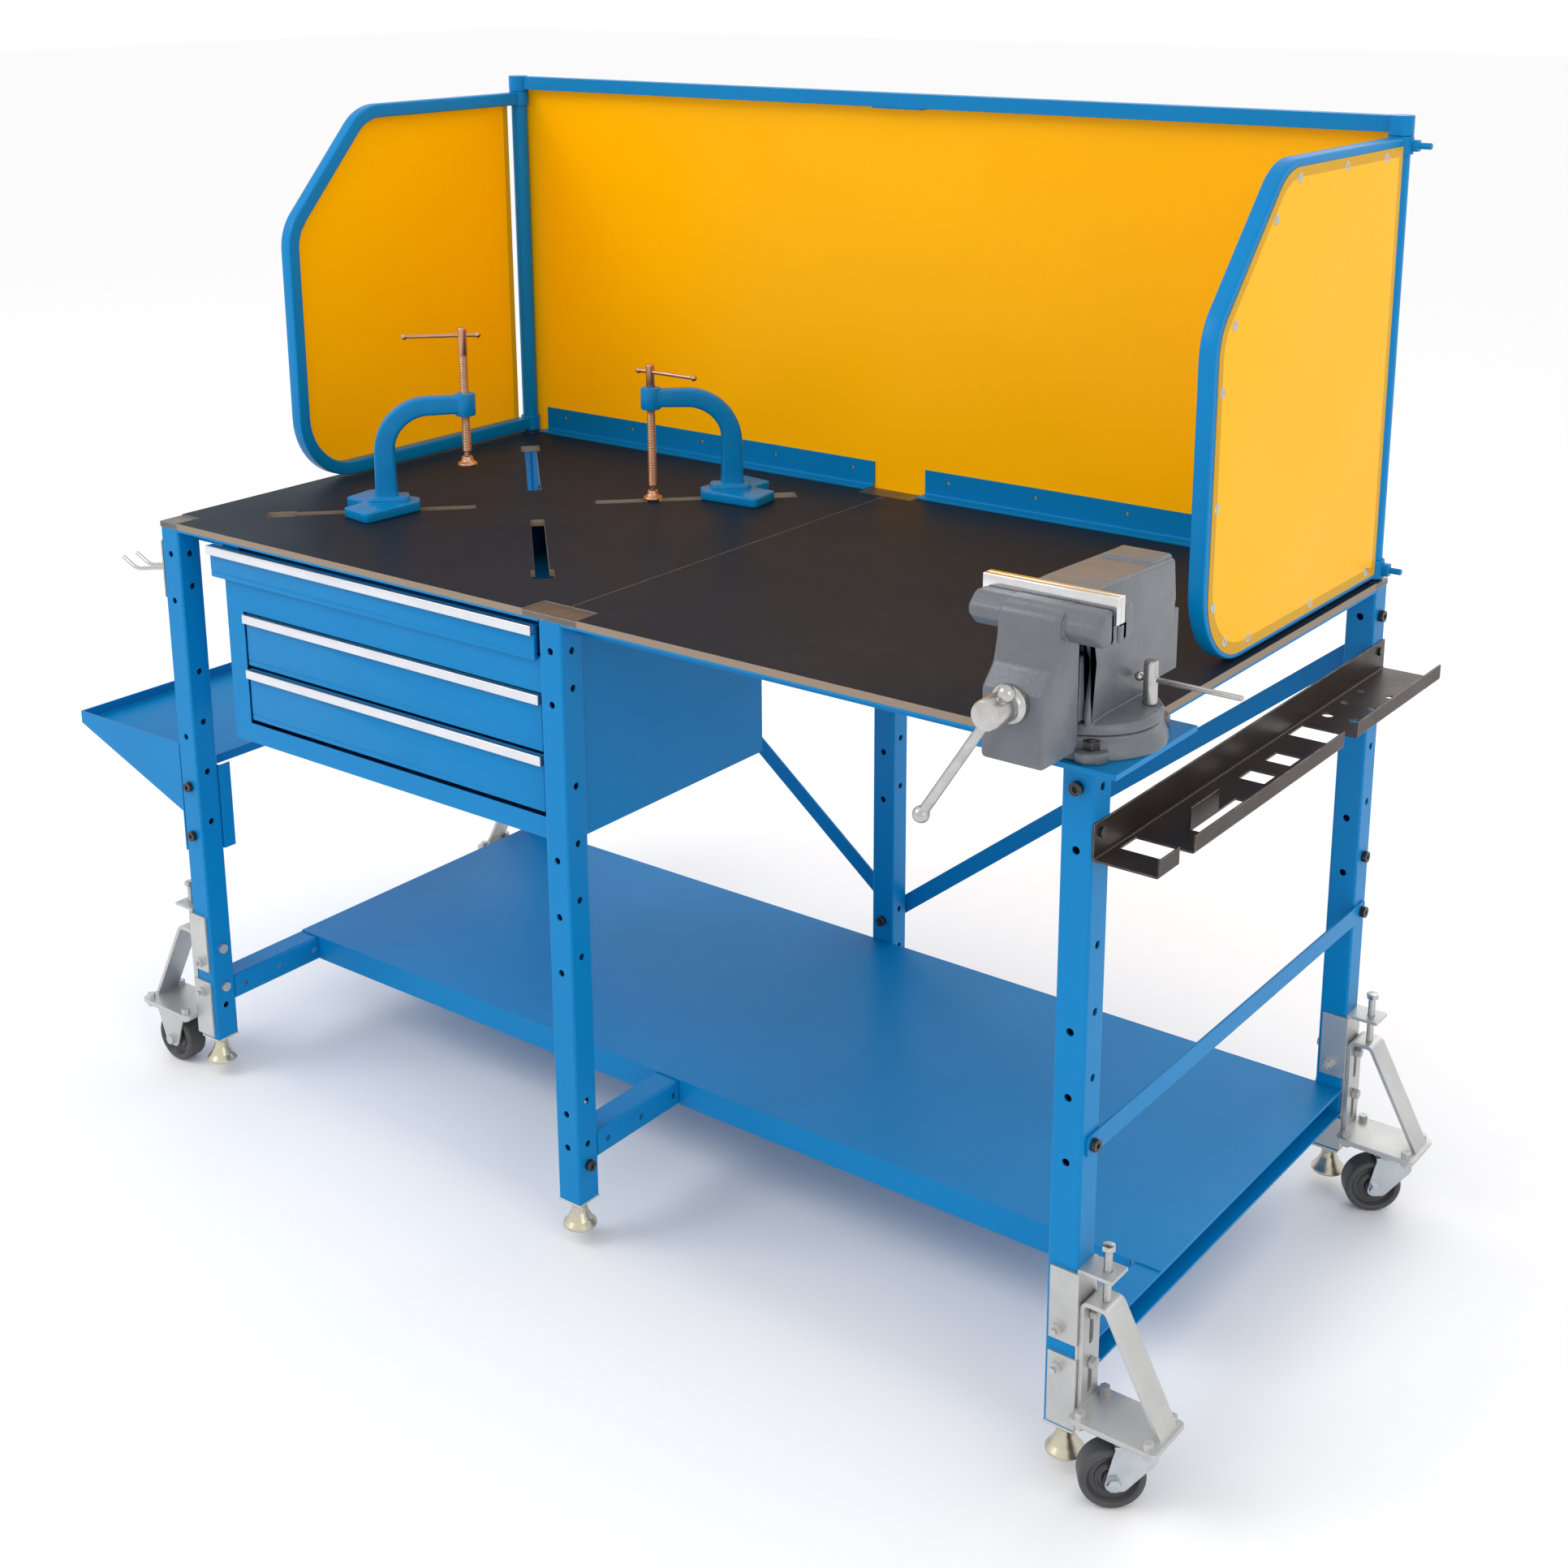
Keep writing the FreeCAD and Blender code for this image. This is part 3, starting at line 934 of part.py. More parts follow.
def caster_fork(swivel):
    """Pressed fork with its axle bolt; the swivel one hangs from a ball race."""
    cheek_y = S["wheel_width"] / 2 + 1.2 + 1.5
    top = S["caster_height"] - (11 if swivel else 3)
    parts = [fork_cheek(-cheek_y, swivel), fork_cheek(cheek_y, swivel)]
    bridge_half = 22 if swivel else 33
    parts.append(box(-bridge_half, -cheek_y - 1.5, top - 3, 2 * bridge_half, 2 * cheek_y + 3, 3))
    trail = -S["caster_trail"] if swivel else 0.0
    parts.append(cylinder(trail, -cheek_y - 7, S["wheel_radius"], "axle_radius", 2 * cheek_y + 14, "+Y"))
    parts.append(hexagon(trail, -cheek_y - 1.5, S["wheel_radius"], 14, 6, "-Y"))
    parts.append(hexagon(trail, cheek_y + 1.5, S["wheel_radius"], 14, 6, "+Y"))
    if swivel:
        parts.append(cylinder(0, 0, top - 1, 25, 6.5))
    return fuse(*parts)


def caster_wheel():
    """Hard tyre with a recessed face on each side, bored for the axle; it lies along Y."""
    r, w, bore = S["wheel_radius"], S["wheel_width"] / 2, S["axle_radius"] + S["fit_gap"]
    wheel = turned([(bore, -w), (11, -w), (12, -w + 6), (r - 10, -w + 6), (r - 8, -w), (r - 2, -w), (r, -w + 4),
                    (r, w - 4), (r - 2, w), (r - 8, w), (r - 10, w - 6), (12, w - 6), (11, w), (bore, w)],
                   [0, 0, 2, 2, 0, 1, 2, 2, 1, 0, 2, 2, 0, 0])
    return wheel


def jack_bolt(side, y):
    """Bolt through the bracket's flange that bears on the strut; at its hexagon head it is turned."""
    jack_x = side * (HALF_LENGTH + S["bracket_thick"] + JACK_REACH)
    return fuse(cylinder(jack_x, y, STRUT_TOP + 0.1, "jack_radius", JACK_HEAD - STRUT_TOP),
                hexagon(jack_x, y, JACK_HEAD, 14.3, 6))


SWIVEL_TURN = 37.0
caster_spots = [("front_left", -1, -LEG_Y), ("front_right", 1, -LEG_Y), ("rear_left", -1, LEG_Y),
                ("rear_right", 1, LEG_Y)]
node("caster_brackets", group(*[caster_bracket(side, y) for word, side, y in caster_spots]))
for word, side, y in caster_spots:
    swivel = side > 0
    centre_x = side * (HALF_LENGTH + CASTER_CENTRE)
    centre_y = y + CASTER_SHIFT
    turn = FreeCAD.Rotation(Vector(0, 0, 1), SWIVEL_TURN if swivel else 0)
    fork = place(group(caster_fork(swivel)), centre_x, centre_y, 0, turn)
    offset = turn.multVec(Vector(-S["caster_trail"] if swivel else 0.0, 0, 0))
    wheel = place(caster_wheel(), centre_x + offset.x, centre_y + offset.y, "wheel_radius",
                  turn.multiply(FreeCAD.Rotation(Vector(1, 0, 0), 90)))
    node(f"{word}_wheel", wheel)
    node(f"{word}_jack_bolt", jack_bolt(side, y))
    carriage = caster_carriage(side, y)
    if swivel:
        node(f"{word}_swivel_fork", fork)
    node(f"{word}_carriage", group(*carriage, *([] if swivel else [fork])))

# ------------------------------------------------------------------ fasteners that stay with the frame
frame_fasteners = []


def socket_screw(x, y, z, axis, radius=7.5, height=7.0):
    """Cap screw head with its socket, standing on a face."""
    head = cylinder(x, y, z, radius, height, axis)
    direction = TURNS[axis].multVec(Vector(0, 0, 1)) * (height - 3.5)
    return cut(head, hexagon(x + direction.x, y + direction.y, z + direction.z, 7, 5, axis))


for x, z in ((LEG_X, 832), (-LEG_X, 475), (-LEG_X, 397)):
    frame_fasteners.append(socket_screw(x, -HALF_DEPTH, z, "-Y"))
for y in (-LEG_Y, LEG_Y):
    for z in (SIDE_BRACE,):
        frame_fasteners.append(socket_screw(HALF_LENGTH + S["strap_thick"], y, z, "+X"))
frame_fasteners.append(socket_screw(HALF_LENGTH, LEG_Y, 832, "+X"))
frame_fasteners.append(socket_screw(HALF_LENGTH, LEG_Y, 497, "+X"))
frame_fasteners.append(socket_screw(HALF_LEG, -LEG_Y, 118, "+X"))
frame_fasteners.append(socket_screw(0, inner_y, 194, "-Y"))
for lug_angle in LUG_ANGLES:
    lug_x, lug_y = vise_spot(lug_angle, LUG_RADIUS)
    frame_fasteners.append(fuse(cylinder(lug_x, lug_y, VISE_FLOOR + 0.2, 5, 22),
                                hexagon(lug_x, lug_y, VISE_FLOOR + 12, 17, 9)))
for y in (-372 + 7, 372 - 7):
    frame_fasteners.append(cylinder(HALF_LENGTH + S["rack_thick"], y, 783, 5.5, 3, "+X"))
node("frame_fasteners", group(*frame_fasteners))

# ------------------------------------------------------------------ checks and export
doc.recompute()
for thing in doc.Objects:
    if "Invalid" in thing.State or "Error" in thing.State:
        raise RuntimeError(f"{thing.Name} ({thing.Label}) failed to compute")
os.makedirs("parts", exist_ok=True)
for label, thing in nodes.items():
    shape = thing.Shape
    if shape.isNull() or not shape.isValid():
        raise RuntimeError(f"{label} has no valid shape")
    shape.exportStep(f"parts/{label}.step")
print(f"{len(nodes)} nodes, {sum(len(thing.Shape.Solids) for thing in nodes.values())} solids")
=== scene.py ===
# %% [markdown]
# A steel welding bench on jacking casters: two thick plates on six square legs, with drawers, amber screens,
# slot clamps, a vise and a torch rack. The frame holds every part at its true place, so the lesson keeps the
# flat sheet-metal parts as they are, gives them real finishes, and remakes the castings, threads, films and
# pressed parts as smooth surfaces worked out with numpy.

# %% Load the frame
import math

import bmesh
import bpy
import numpy as np
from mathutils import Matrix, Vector


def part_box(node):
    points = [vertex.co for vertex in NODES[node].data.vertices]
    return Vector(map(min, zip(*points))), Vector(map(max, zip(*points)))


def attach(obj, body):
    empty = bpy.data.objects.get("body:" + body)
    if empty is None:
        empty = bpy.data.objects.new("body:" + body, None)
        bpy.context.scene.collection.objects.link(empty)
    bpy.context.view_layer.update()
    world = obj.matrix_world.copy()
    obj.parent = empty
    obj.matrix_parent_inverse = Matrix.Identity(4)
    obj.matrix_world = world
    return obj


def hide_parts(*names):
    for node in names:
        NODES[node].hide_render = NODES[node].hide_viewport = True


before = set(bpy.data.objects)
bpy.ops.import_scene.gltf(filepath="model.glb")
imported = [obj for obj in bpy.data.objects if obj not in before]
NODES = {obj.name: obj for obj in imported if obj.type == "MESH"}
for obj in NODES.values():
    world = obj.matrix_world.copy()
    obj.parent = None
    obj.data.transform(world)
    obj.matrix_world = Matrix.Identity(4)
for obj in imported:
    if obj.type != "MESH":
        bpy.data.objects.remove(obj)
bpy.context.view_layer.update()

MM = 0.001

# %% [markdown]
# The camera stands to the front right, a little above the table, and looks slightly down. The lens is a
# normal 50 mm, and a small downward shift keeps the legs nearly upright, as a view camera would.

# %% Camera
scene = bpy.context.scene
CAMERA_PLACE = (1.7637, -2.2130, 1.6758)
CAMERA_YAW, CAMERA_PITCH, CAMERA_ROLL = 37.30, 15.15, 0.31
camera_data = bpy.data.cameras.new("camera")
camera_data.lens, camera_data.sensor_width, camera_data.shift_y = 49.55, 36.0, -0.165
camera = bpy.data.objects.new("camera", camera_data)
scene.collection.objects.link(camera)
camera.location = CAMERA_PLACE
camera.rotation_mode = "XYZ"
camera.rotation_euler = (math.radians(90 - CAMERA_PITCH), math.radians(CAMERA_ROLL), math.radians(CAMERA_YAW))
scene.camera = camera
print("camera at", CAMERA_PLACE)

# %% [markdown]
# Product light is large and soft: a bright pale room, one broad key from the upper left, a weaker fill from the
# right, and a strip behind the bench that lights the amber films from behind.

# %% Floor, room and lamps
scene.view_settings.view_transform = "Standard"
world = bpy.data.worlds.new("room")
scene.world = world
world.use_nodes = True
world.node_tree.nodes["Background"].inputs["Color"].default_value = (1.0, 1.0, 1.0, 1.0)
world.node_tree.nodes["Background"].inputs["Strength"].default_value = 1.0


def lamp(name, place, target, size, power):
    """A square area lamp of that size at a place, turned to face a target."""
    data = bpy.data.lights.new(name, "AREA")
    data.size, data.energy = size, power
    thing = bpy.data.objects.new(name, data)
    scene.collection.objects.link(thing)
    thing.location = place
    thing.rotation_mode = "QUATERNION"
    thing.rotation_quaternion = (Vector(target) - Vector(place)).to_track_quat("-Z", "Y")
    return thing


lamp("key", (-2.6, -3.2, 4.2), (0, 0, 0.6), 2.4, 70)
lamp("fill", (4.2, -1.6, 2.2), (0.3, 0, 0.7), 2.0, 18)
lamp("back", (0.6, 3.6, 2.8), (0, 0, 1.0), 3.0, 30)


def room_material():
    mat = bpy.data.materials.new("studio_floor")
    mat.use_nodes = True
    shader = mat.node_tree.nodes["Principled BSDF"]
    shader.inputs["Base Color"].default_value = (0.97, 0.965, 0.975, 1)
    shader.inputs["Roughness"].default_value = 0.7
    return mat


floor_mesh = bpy.data.meshes.new("floor")
floor_mesh.from_pydata([(-30, -30, 0), (30, -30, 0), (30, 30, 0), (-30, 30, 0)], [], [(0, 1, 2, 3)])
floor = bpy.data.objects.new("floor", floor_mesh)
floor_mesh.materials.append(room_material())
scene.collection.objects.link(floor)
print("room ready")

# %% [markdown]
# Every metal here shows three things: a surface that is never quite even, a fine texture, and brighter edges,
# which on most finishes are where the finish is thin or rubbed, and on the two blue paints are a painted edge
# highlight. Each is a small node group, built once, with its strength and size as inputs, so that paint, plating
# and bare steel can share them.

# %% Shared node groups


class Group:
    """A shader node group with named inputs and outputs, and short calls to add and join its nodes."""

    def __init__(self, name, inputs, outputs):
        self.tree = bpy.data.node_groups.new(name, "ShaderNodeTree")
        for label, value in inputs:
            socket = self.tree.interface.new_socket(label, in_out="INPUT", socket_type="NodeSocketFloat")
            socket.default_value = value
        for label, kind in outputs:
            self.tree.interface.new_socket(label, in_out="OUTPUT", socket_type=kind)
        self.inp = self.tree.nodes.new("NodeGroupInput")
        self.out = self.tree.nodes.new("NodeGroupOutput")

    def add(self, kind, links=(), **values):
        return add_node(self.tree, kind, links, **values)

    def give(self, label, socket):
        self.tree.links.new(socket, self.out.inputs[label])


def add_node(tree, kind, links=(), **values):
    """A new node of that kind; links pairs its input names or numbers with sockets or plain values."""
    made = tree.nodes.new(kind)
    for prop, value in values.items():
        setattr(made, prop, value)
    for key, source in links:
        if isinstance(source, bpy.types.NodeSocket):
            tree.links.new(source, made.inputs[key])
        else:
            made.inputs[key].default_value = source
    return made


FLOAT, VECTOR = "NodeSocketFloat", "NodeSocketVector"

# Mottle: slow cloudy variation, from 0 to 1, and a second finer layer mixed into it.
mottle = Group("Mottle", [("Scale", 6.0), ("Contrast", 1.0)], [("Value", FLOAT)])
where = mottle.add("ShaderNodeTexCoord")
cloud = mottle.add("ShaderNodeTexNoise", [("Vector", where.outputs["Object"]),
                                          ("Scale", mottle.inp.outputs["Scale"]), ("Detail", 6.0),
                                          ("Roughness", 0.62)])
centred = mottle.add("ShaderNodeMath", [(0, cloud.outputs["Fac"]), (1, 0.5)], operation="SUBTRACT")
scaled = mottle.add("ShaderNodeMath", [(0, centred.outputs[0]), (1, mottle.inp.outputs["Contrast"])],
                    operation="MULTIPLY")
lifted = mottle.add("ShaderNodeMath", [(0, scaled.outputs[0]), (1, 0.5)], operation="ADD", use_clamp=True)
mottle.give("Value", lifted.outputs[0])

# Edges: where the rounded normal leaves the flat one there is an edge; noise breaks the line up.
# The mask takes a lighter colour: rubbed edges on most finishes, a painted edge highlight on the two blue paints.
wear_and_highlight = Group("Edge wear", [("Radius", 0.0012), ("Amount", 1.0), ("Break up", 60.0)],
             [("Mask", FLOAT), ("Normal", VECTOR)])
rounded = wear_and_highlight.add("ShaderNodeBevel", [("Radius", wear_and_highlight.inp.outputs["Radius"])], samples=6)
flat = wear_and_highlight.add("ShaderNodeNewGeometry")
facing = wear_and_highlight.add("ShaderNodeVectorMath", [(0, rounded.outputs["Normal"]), (1, flat.outputs["Normal"])],
                  operation="DOT_PRODUCT")
turned_away = wear_and_highlight.add("ShaderNodeMapRange", [("Value", facing.outputs["Value"]), ("From Min", 0.995),
                                              ("From Max", 0.86), ("To Min", 0.0), ("To Max", 1.0)])
where = wear_and_highlight.add("ShaderNodeTexCoord")
chips = wear_and_highlight.add("ShaderNodeTexNoise", [("Vector", where.outputs["Object"]),
                                        ("Scale", wear_and_highlight.inp.outputs["Break up"]), ("Detail", 4.0)])
patchy = wear_and_highlight.add("ShaderNodeMapRange", [("Value", chips.outputs["Fac"]), ("From Min", 0.35),
                                         ("From Max", 0.65), ("To Min", 0.25), ("To Max", 1.0)])
both = wear_and_highlight.add("ShaderNodeMath", [(0, turned_away.outputs[0]), (1, patchy.outputs[0])], operation="MULTIPLY")
strength = wear_and_highlight.add("ShaderNodeMath", [(0, both.outputs[0]), (1, wear_and_highlight.inp.outputs["Amount"])],
                    operation="MULTIPLY", use_clamp=True)
wear_and_highlight.give("Mask", strength.outputs[0])
wear_and_highlight.give("Normal", rounded.outputs["Normal"])

# Grain: a fine height for bump, either even like orange peel or drawn out along one axis like brushing.
grain = Group("Grain", [("Scale", 900.0), ("Stretch", 1.0)], [("Height", FLOAT)])
where = grain.add("ShaderNodeTexCoord")
stretch = grain.add("ShaderNodeCombineXYZ", [("X", grain.inp.outputs["Stretch"]), ("Y", 1.0), ("Z", 1.0)])
drawn = grain.add("ShaderNodeVectorMath", [(0, where.outputs["Object"]), (1, stretch.outputs[0])],
                  operation="MULTIPLY")
fine = grain.add("ShaderNodeTexNoise", [("Vector", drawn.outputs[0]), ("Scale", grain.inp.outputs["Scale"]),
                                        ("Detail", 3.0), ("Roughness", 0.55)])
grain.give("Height", fine.outputs["Fac"])
# Cut faces: a plate's sawn or sheared edge stands upright, so its normal has almost no upward part.
cut = Group("Cut faces", [("Limit", 0.6)], [("Mask", FLOAT)])
facing_way = cut.add("ShaderNodeNewGeometry")
parted = cut.add("ShaderNodeSeparateXYZ", [(0, facing_way.outputs["Normal"])])
upward = cut.add("ShaderNodeMath", [(0, parted.outputs["Z"])], operation="ABSOLUTE")
edge_on = cut.add("ShaderNodeMapRange", [
    ("Value", upward.outputs[0]), ("From Min", 0.25), ("From Max", cut.inp.outputs["Limit"]),
    ("To Min", 1.0), ("To Max", 0.0)])
cut.give("Mask", edge_on.outputs[0])
print("node groups:", [g.name for g in bpy.data.node_groups])

# %% [markdown]
# One builder covers all the metals: a main colour that drifts towards a second one with the mottle, a third
# colour on edges (rubbed edges on most finishes, a painted edge highlight on the blue paints), a roughness range,
# and a bump from the grain. A finish is then a line of numbers.

# %% Metal finishes


def use_group(tree, name, **values):
    """A node of the named group in a material's tree, with its inputs set."""
    made = tree.nodes.new("ShaderNodeGroup")
    made.node_tree = bpy.data.node_groups[name]
    for key, value in values.items():
        made.inputs[key.replace("_", " ")].default_value = value
    return made


def finish(name, colour, drift, edge, metallic, rough, mottle_scale=7.0, contrast=1.2, wear_and_highlight_amount=0.6,
           grain_scale=900.0, grain_depth=0.05, stretch=1.0, coat=0.0, radius=0.0010, edge_metal=None,
           cut_colour=None, specular=0.5):
    """A Principled material: colour drifts to drift over the mottle, edges turn to edge (rubbed edges on most
    finishes, a painted edge highlight on the blue paints), and roughness runs between the two numbers in rough
    over the same mottle."""
    mat = bpy.data.materials.new(name)
    mat.use_nodes = True
    tree = mat.node_tree
    shader = tree.nodes["Principled BSDF"]
    clouds = use_group(tree, "Mottle", Scale=mottle_scale, Contrast=contrast)
    edge_wear_and_highlight = use_group(tree, "Edge wear", Radius=radius, Amount=wear_and_highlight_amount, Break_up=70.0)
    fine = use_group(tree, "Grain", Scale=grain_scale, Stretch=stretch)
    base = add_node(tree, "ShaderNodeMix", [("Factor", clouds.outputs["Value"]), (6, (*colour, 1)),
                                            (7, (*drift, 1))], data_type="RGBA")
    # Edges take the third colour: rubbed edges on most finishes, a painted edge highlight on the blue paints.
    top = add_node(tree, "ShaderNodeMix", [("Factor", edge_wear_and_highlight.outputs["Mask"]), (6, base.outputs[2]),
                                           (7, (*edge, 1))], data_type="RGBA")
    if cut_colour is not None:
        sheared = use_group(tree, "Cut faces")
        top = add_node(tree, "ShaderNodeMix", [("Factor", sheared.outputs["Mask"]), (6, top.outputs[2]),
                                               (7, (*cut_colour, 1))], data_type="RGBA")
    tree.links.new(top.outputs[2], shader.inputs["Base Color"])
    sheen = add_node(tree, "ShaderNodeMapRange", [("Value", clouds.outputs["Value"]), ("To Min", rough[0]),
                                                  ("To Max", rough[1])])
    tree.links.new(sheen.outputs[0], shader.inputs["Roughness"])
    if edge_metal is None:
        shader.inputs["Metallic"].default_value = metallic
    else:
        metal = add_node(tree, "ShaderNodeMapRange", [("Value", edge_wear_and_highlight.outputs["Mask"]), ("To Min", metallic),
                                                      ("To Max", edge_metal)])
        tree.links.new(metal.outputs[0], shader.inputs["Metallic"])
    shader.inputs["Coat Weight"].default_value = coat
    shader.inputs["Specular IOR Level"].default_value = specular
    shader.inputs["Coat Roughness"].default_value = 0.12
    bump = add_node(tree, "ShaderNodeBump", [("Strength", 1.0), ("Distance", grain_depth * 0.001),
                                             ("Height", fine.outputs["Height"]),
                                             ("Normal", edge_wear_and_highlight.outputs["Normal"])])
    tree.links.new(bump.outputs[0], shader.inputs["Normal"])
    return mat


# On powder_blue and enamel_blue the third colour, a lighter blue on edges, is a painted edge highlight.
powder_blue = finish("powder_blue", (0.000, 0.215, 0.520), (0.000, 0.190, 0.470), (0.05, 0.36, 0.72), 0.0,
                     (0.30, 0.42), 5.0, 1.4, 0.5, 420.0, 0.10, specular=0.16)
enamel_blue = finish("enamel_blue", (0.000, 0.225, 0.530), (0.000, 0.185, 0.460), (0.08, 0.40, 0.74), 0.0,
                     (0.24, 0.38), 30.0, 1.6, 0.7, 160.0, 0.30, specular=0.20)
mill_scale = finish("mill_scale", (0.008, 0.020, 0.036), (0.014, 0.022, 0.036), (0.42, 0.36, 0.30), 0.0,
                    (0.38, 0.54), 3.2, 2.2, 0.9, 700.0, 0.10, radius=0.0010, edge_metal=0.5,
                    cut_colour=(0.30, 0.235, 0.18), specular=0.05)
bare_steel = finish("bare_steel", (0.20, 0.185, 0.17), (0.11, 0.10, 0.095), (0.62, 0.60, 0.57), 0.8,
                    (0.34, 0.50), 22.0, 1.8, 0.8, 500.0, 0.12)
black_oxide = finish("black_oxide", (0.020, 0.015, 0.013), (0.050, 0.032, 0.024), (0.55, 0.50, 0.46), 0.45,
                     (0.30, 0.50), 14.0, 2.0, 1.0, 520.0, 0.10, radius=0.0009, edge_metal=0.9)
zinc = finish("zinc", (0.60, 0.60, 0.585), (0.47, 0.475, 0.47), (0.82, 0.82, 0.80), 0.75, (0.34, 0.48),
              16.0, 1.6, 0.6, 600.0, 0.10)
yellow_zinc = finish("yellow_zinc", (0.62, 0.58, 0.40), (0.55, 0.50, 0.44), (0.85, 0.83, 0.70), 0.9,
                     (0.24, 0.36), 40.0, 2.0, 0.5, 700.0, 0.06)
blue_zinc = finish("blue_zinc", (0.40, 0.45, 0.50), (0.60, 0.62, 0.62), (0.80, 0.83, 0.85), 0.95,
                   (0.20, 0.32), 26.0, 2.0, 0.5, 600.0, 0.05)
bright_steel = finish("bright_steel", (0.58, 0.57, 0.55), (0.42, 0.41, 0.40), (0.85, 0.85, 0.83), 0.95,
                      (0.20, 0.34), 60.0, 1.6, 0.5, 900.0, 0.05)
dark_steel = finish("dark_steel", (0.030, 0.030, 0.032), (0.060, 0.058, 0.056), (0.40, 0.40, 0.40), 0.7,
                    (0.30, 0.45), 80.0, 1.6, 0.8, 900.0, 0.06)
copper_plate = finish("copper_plate", (0.66, 0.37, 0.22), (0.50, 0.27, 0.17), (0.90, 0.66, 0.50), 0.95,
                      (0.24, 0.40), 70.0, 1.8, 0.5, 800.0, 0.06)
vise_grey = finish("vise_grey", (0.150, 0.165, 0.185), (0.110, 0.122, 0.140), (0.30, 0.32, 0.34), 0.15,
                   (0.34, 0.48), 26.0, 1.5, 0.6, 210.0, 0.60, radius=0.0018, coat=0.15)
chrome = finish("chrome", (0.78, 0.78, 0.78), (0.62, 0.62, 0.63), (0.95, 0.95, 0.95), 1.0, (0.10, 0.20),
                50.0, 1.4, 0.4, 900.0, 0.02)
brushed_aluminium = finish("brushed_aluminium", (0.74, 0.76, 0.80), (0.62, 0.64, 0.68), (0.92, 0.93, 0.95),
                           0.9, (0.24, 0.34), 18.0, 1.4, 0.4, 900.0, 0.10, stretch=0.02)
hard_tread = finish("hard_tread", (0.060, 0.060, 0.064), (0.045, 0.045, 0.048), (0.13, 0.13, 0.13), 0.0,
                    (0.40, 0.55), 40.0, 1.5, 0.6, 500.0, 0.08)
cream_zinc = finish("cream_zinc", (0.66, 0.64, 0.52), (0.56, 0.55, 0.48), (0.84, 0.83, 0.76), 0.5,
                    (0.32, 0.46), 30.0, 1.6, 0.5, 600.0, 0.06)
gunmetal = finish("gunmetal", (0.10, 0.10, 0.105), (0.06, 0.06, 0.064), (0.40, 0.40, 0.40), 0.8,
                  (0.26, 0.40), 60.0, 1.5, 0.6, 800.0, 0.06)
print(len(bpy.data.materials), "materials")

# %% [markdown]
# The screens are amber film that a welder's arc can't shine through harmfully. It is glossy and lets soft
# light pass, and a weak emission of its own tint is a painted glow; so it shows a saturated yellow against a
# white wall, deeper where two layers overlap at the hem.

# %% Amber film


def film_material(name, colour, deeper, passing):
    """Glossy film: mottle drifts its colour to deeper; passing is how much light goes through. The same tint is
    also emitted weakly, as a painted glow.
    """
    mat = bpy.data.materials.new(name)
    mat.use_nodes = True
    tree = mat.node_tree
    shader = tree.nodes["Principled BSDF"]
    clouds = use_group(tree, "Mottle", Scale=2.2, Contrast=1.4)
    tint = add_node(tree, "ShaderNodeMix", [("Factor", clouds.outputs["Value"]), (6, (*colour, 1)),
                                            (7, (*deeper, 1))], data_type="RGBA")
    tree.links.new(tint.outputs[2], shader.inputs["Base Color"])
    # The tint is also emitted at strength 0.16: a painted glow, since the film is no lamp.
    tree.links.new(tint.outputs[2], shader.inputs["Emission Color"])
    shader.inputs["Emission Strength"].default_value = 0.16
    shader.inputs["Specular IOR Level"].default_value = 0.22
    shader.inputs["Transmission Weight"].default_value = passing
    shader.inputs["IOR"].default_value = 1.3
    sheen = add_node(tree, "ShaderNodeMapRange", [("Value", clouds.outputs["Value"]), ("To Min", 0.22),
                                                  ("To Max", 0.36)])
    tree.links.new(sheen.outputs[0], shader.inputs["Roughness"])
    ripple = use_group(tree, "Mottle", Scale=5.0, Contrast=1.0)
    bump = add_node(tree, "ShaderNodeBump", [("Strength", 0.5), ("Distance", 0.004),
                                             ("Height", ripple.outputs["Value"])])
    tree.links.new(bump.outputs[0], shader.inputs["Normal"])
    return mat


amber_film = film_material("amber_film", (0.93, 0.455, 0.0), (0.88, 0.415, 0.0), 0.08)
amber_hem = film_material("amber_hem", (0.62, 0.330, 0.004), (0.48, 0.260, 0.004), 0.05)
print("film ready")

# %% [markdown]
# Castings, threads and pressed parts come out of four kinds of surface. A lathe turns a profile, a sweep
# carries a section along a path, a slab gives a flat outline quarter-round edges, and a thread is a lathe
# whose radius also winds round. Each is worked out as whole arrays, in millimetres, and then placed.

# %% Surface helpers


def frame_at(origin, up=(0, 0, 1), across=(1, 0, 0)):
    """Axes at a place, one per row: across, side, up and the origin, where side is up crossed with across."""
    up = np.array(up, float) / np.linalg.norm(up)
    across = np.array(across, float) - up * np.dot(up, across)
    across /= np.linalg.norm(across)
    return np.array([across, np.cross(up, across), up, origin])


def carry(points, axes):
    """Local (x, y, z) to its place: x times across, plus y times side, plus z times up, plus the origin."""
    return points @ axes[:3] + axes[3]


def skin(grid, caps=True):
    """A (rows, columns, 3) grid as a closed shell: a face joins each point to the next in its row and
    column, columns run round, and a flat cap closes each end row."""
    rows, cols = grid.shape[:2]
    index = np.arange(rows * cols).reshape(rows, cols)
    ahead = np.roll(index, -1, axis=1)
    faces = np.stack([index[:-1], ahead[:-1], ahead[1:], index[1:]], axis=-1).reshape(-1, 4).tolist()
    if caps:
        faces += [index[0][::-1].tolist(), index[-1].tolist()]
    return grid.reshape(-1, 3), faces


def lathe(profile, axes, steps=48):
    """A profile of (radius, height) turned about up: x = r cos t, y = r sin t, z = h. A profile that
    ends where it starts is a closed ring; any other gets a cap at each end."""
    profile = np.array(profile, float)
    t = np.linspace(0, 2 * np.pi, steps, endpoint=False)
    radius, height = profile[:, :1], np.repeat(profile[:, 1:], steps, axis=1)
    grid = carry(np.stack([radius * np.cos(t), radius * np.sin(t), height], axis=-1), axes)
    return skin(grid, caps=not np.allclose(profile[0], profile[-1]))


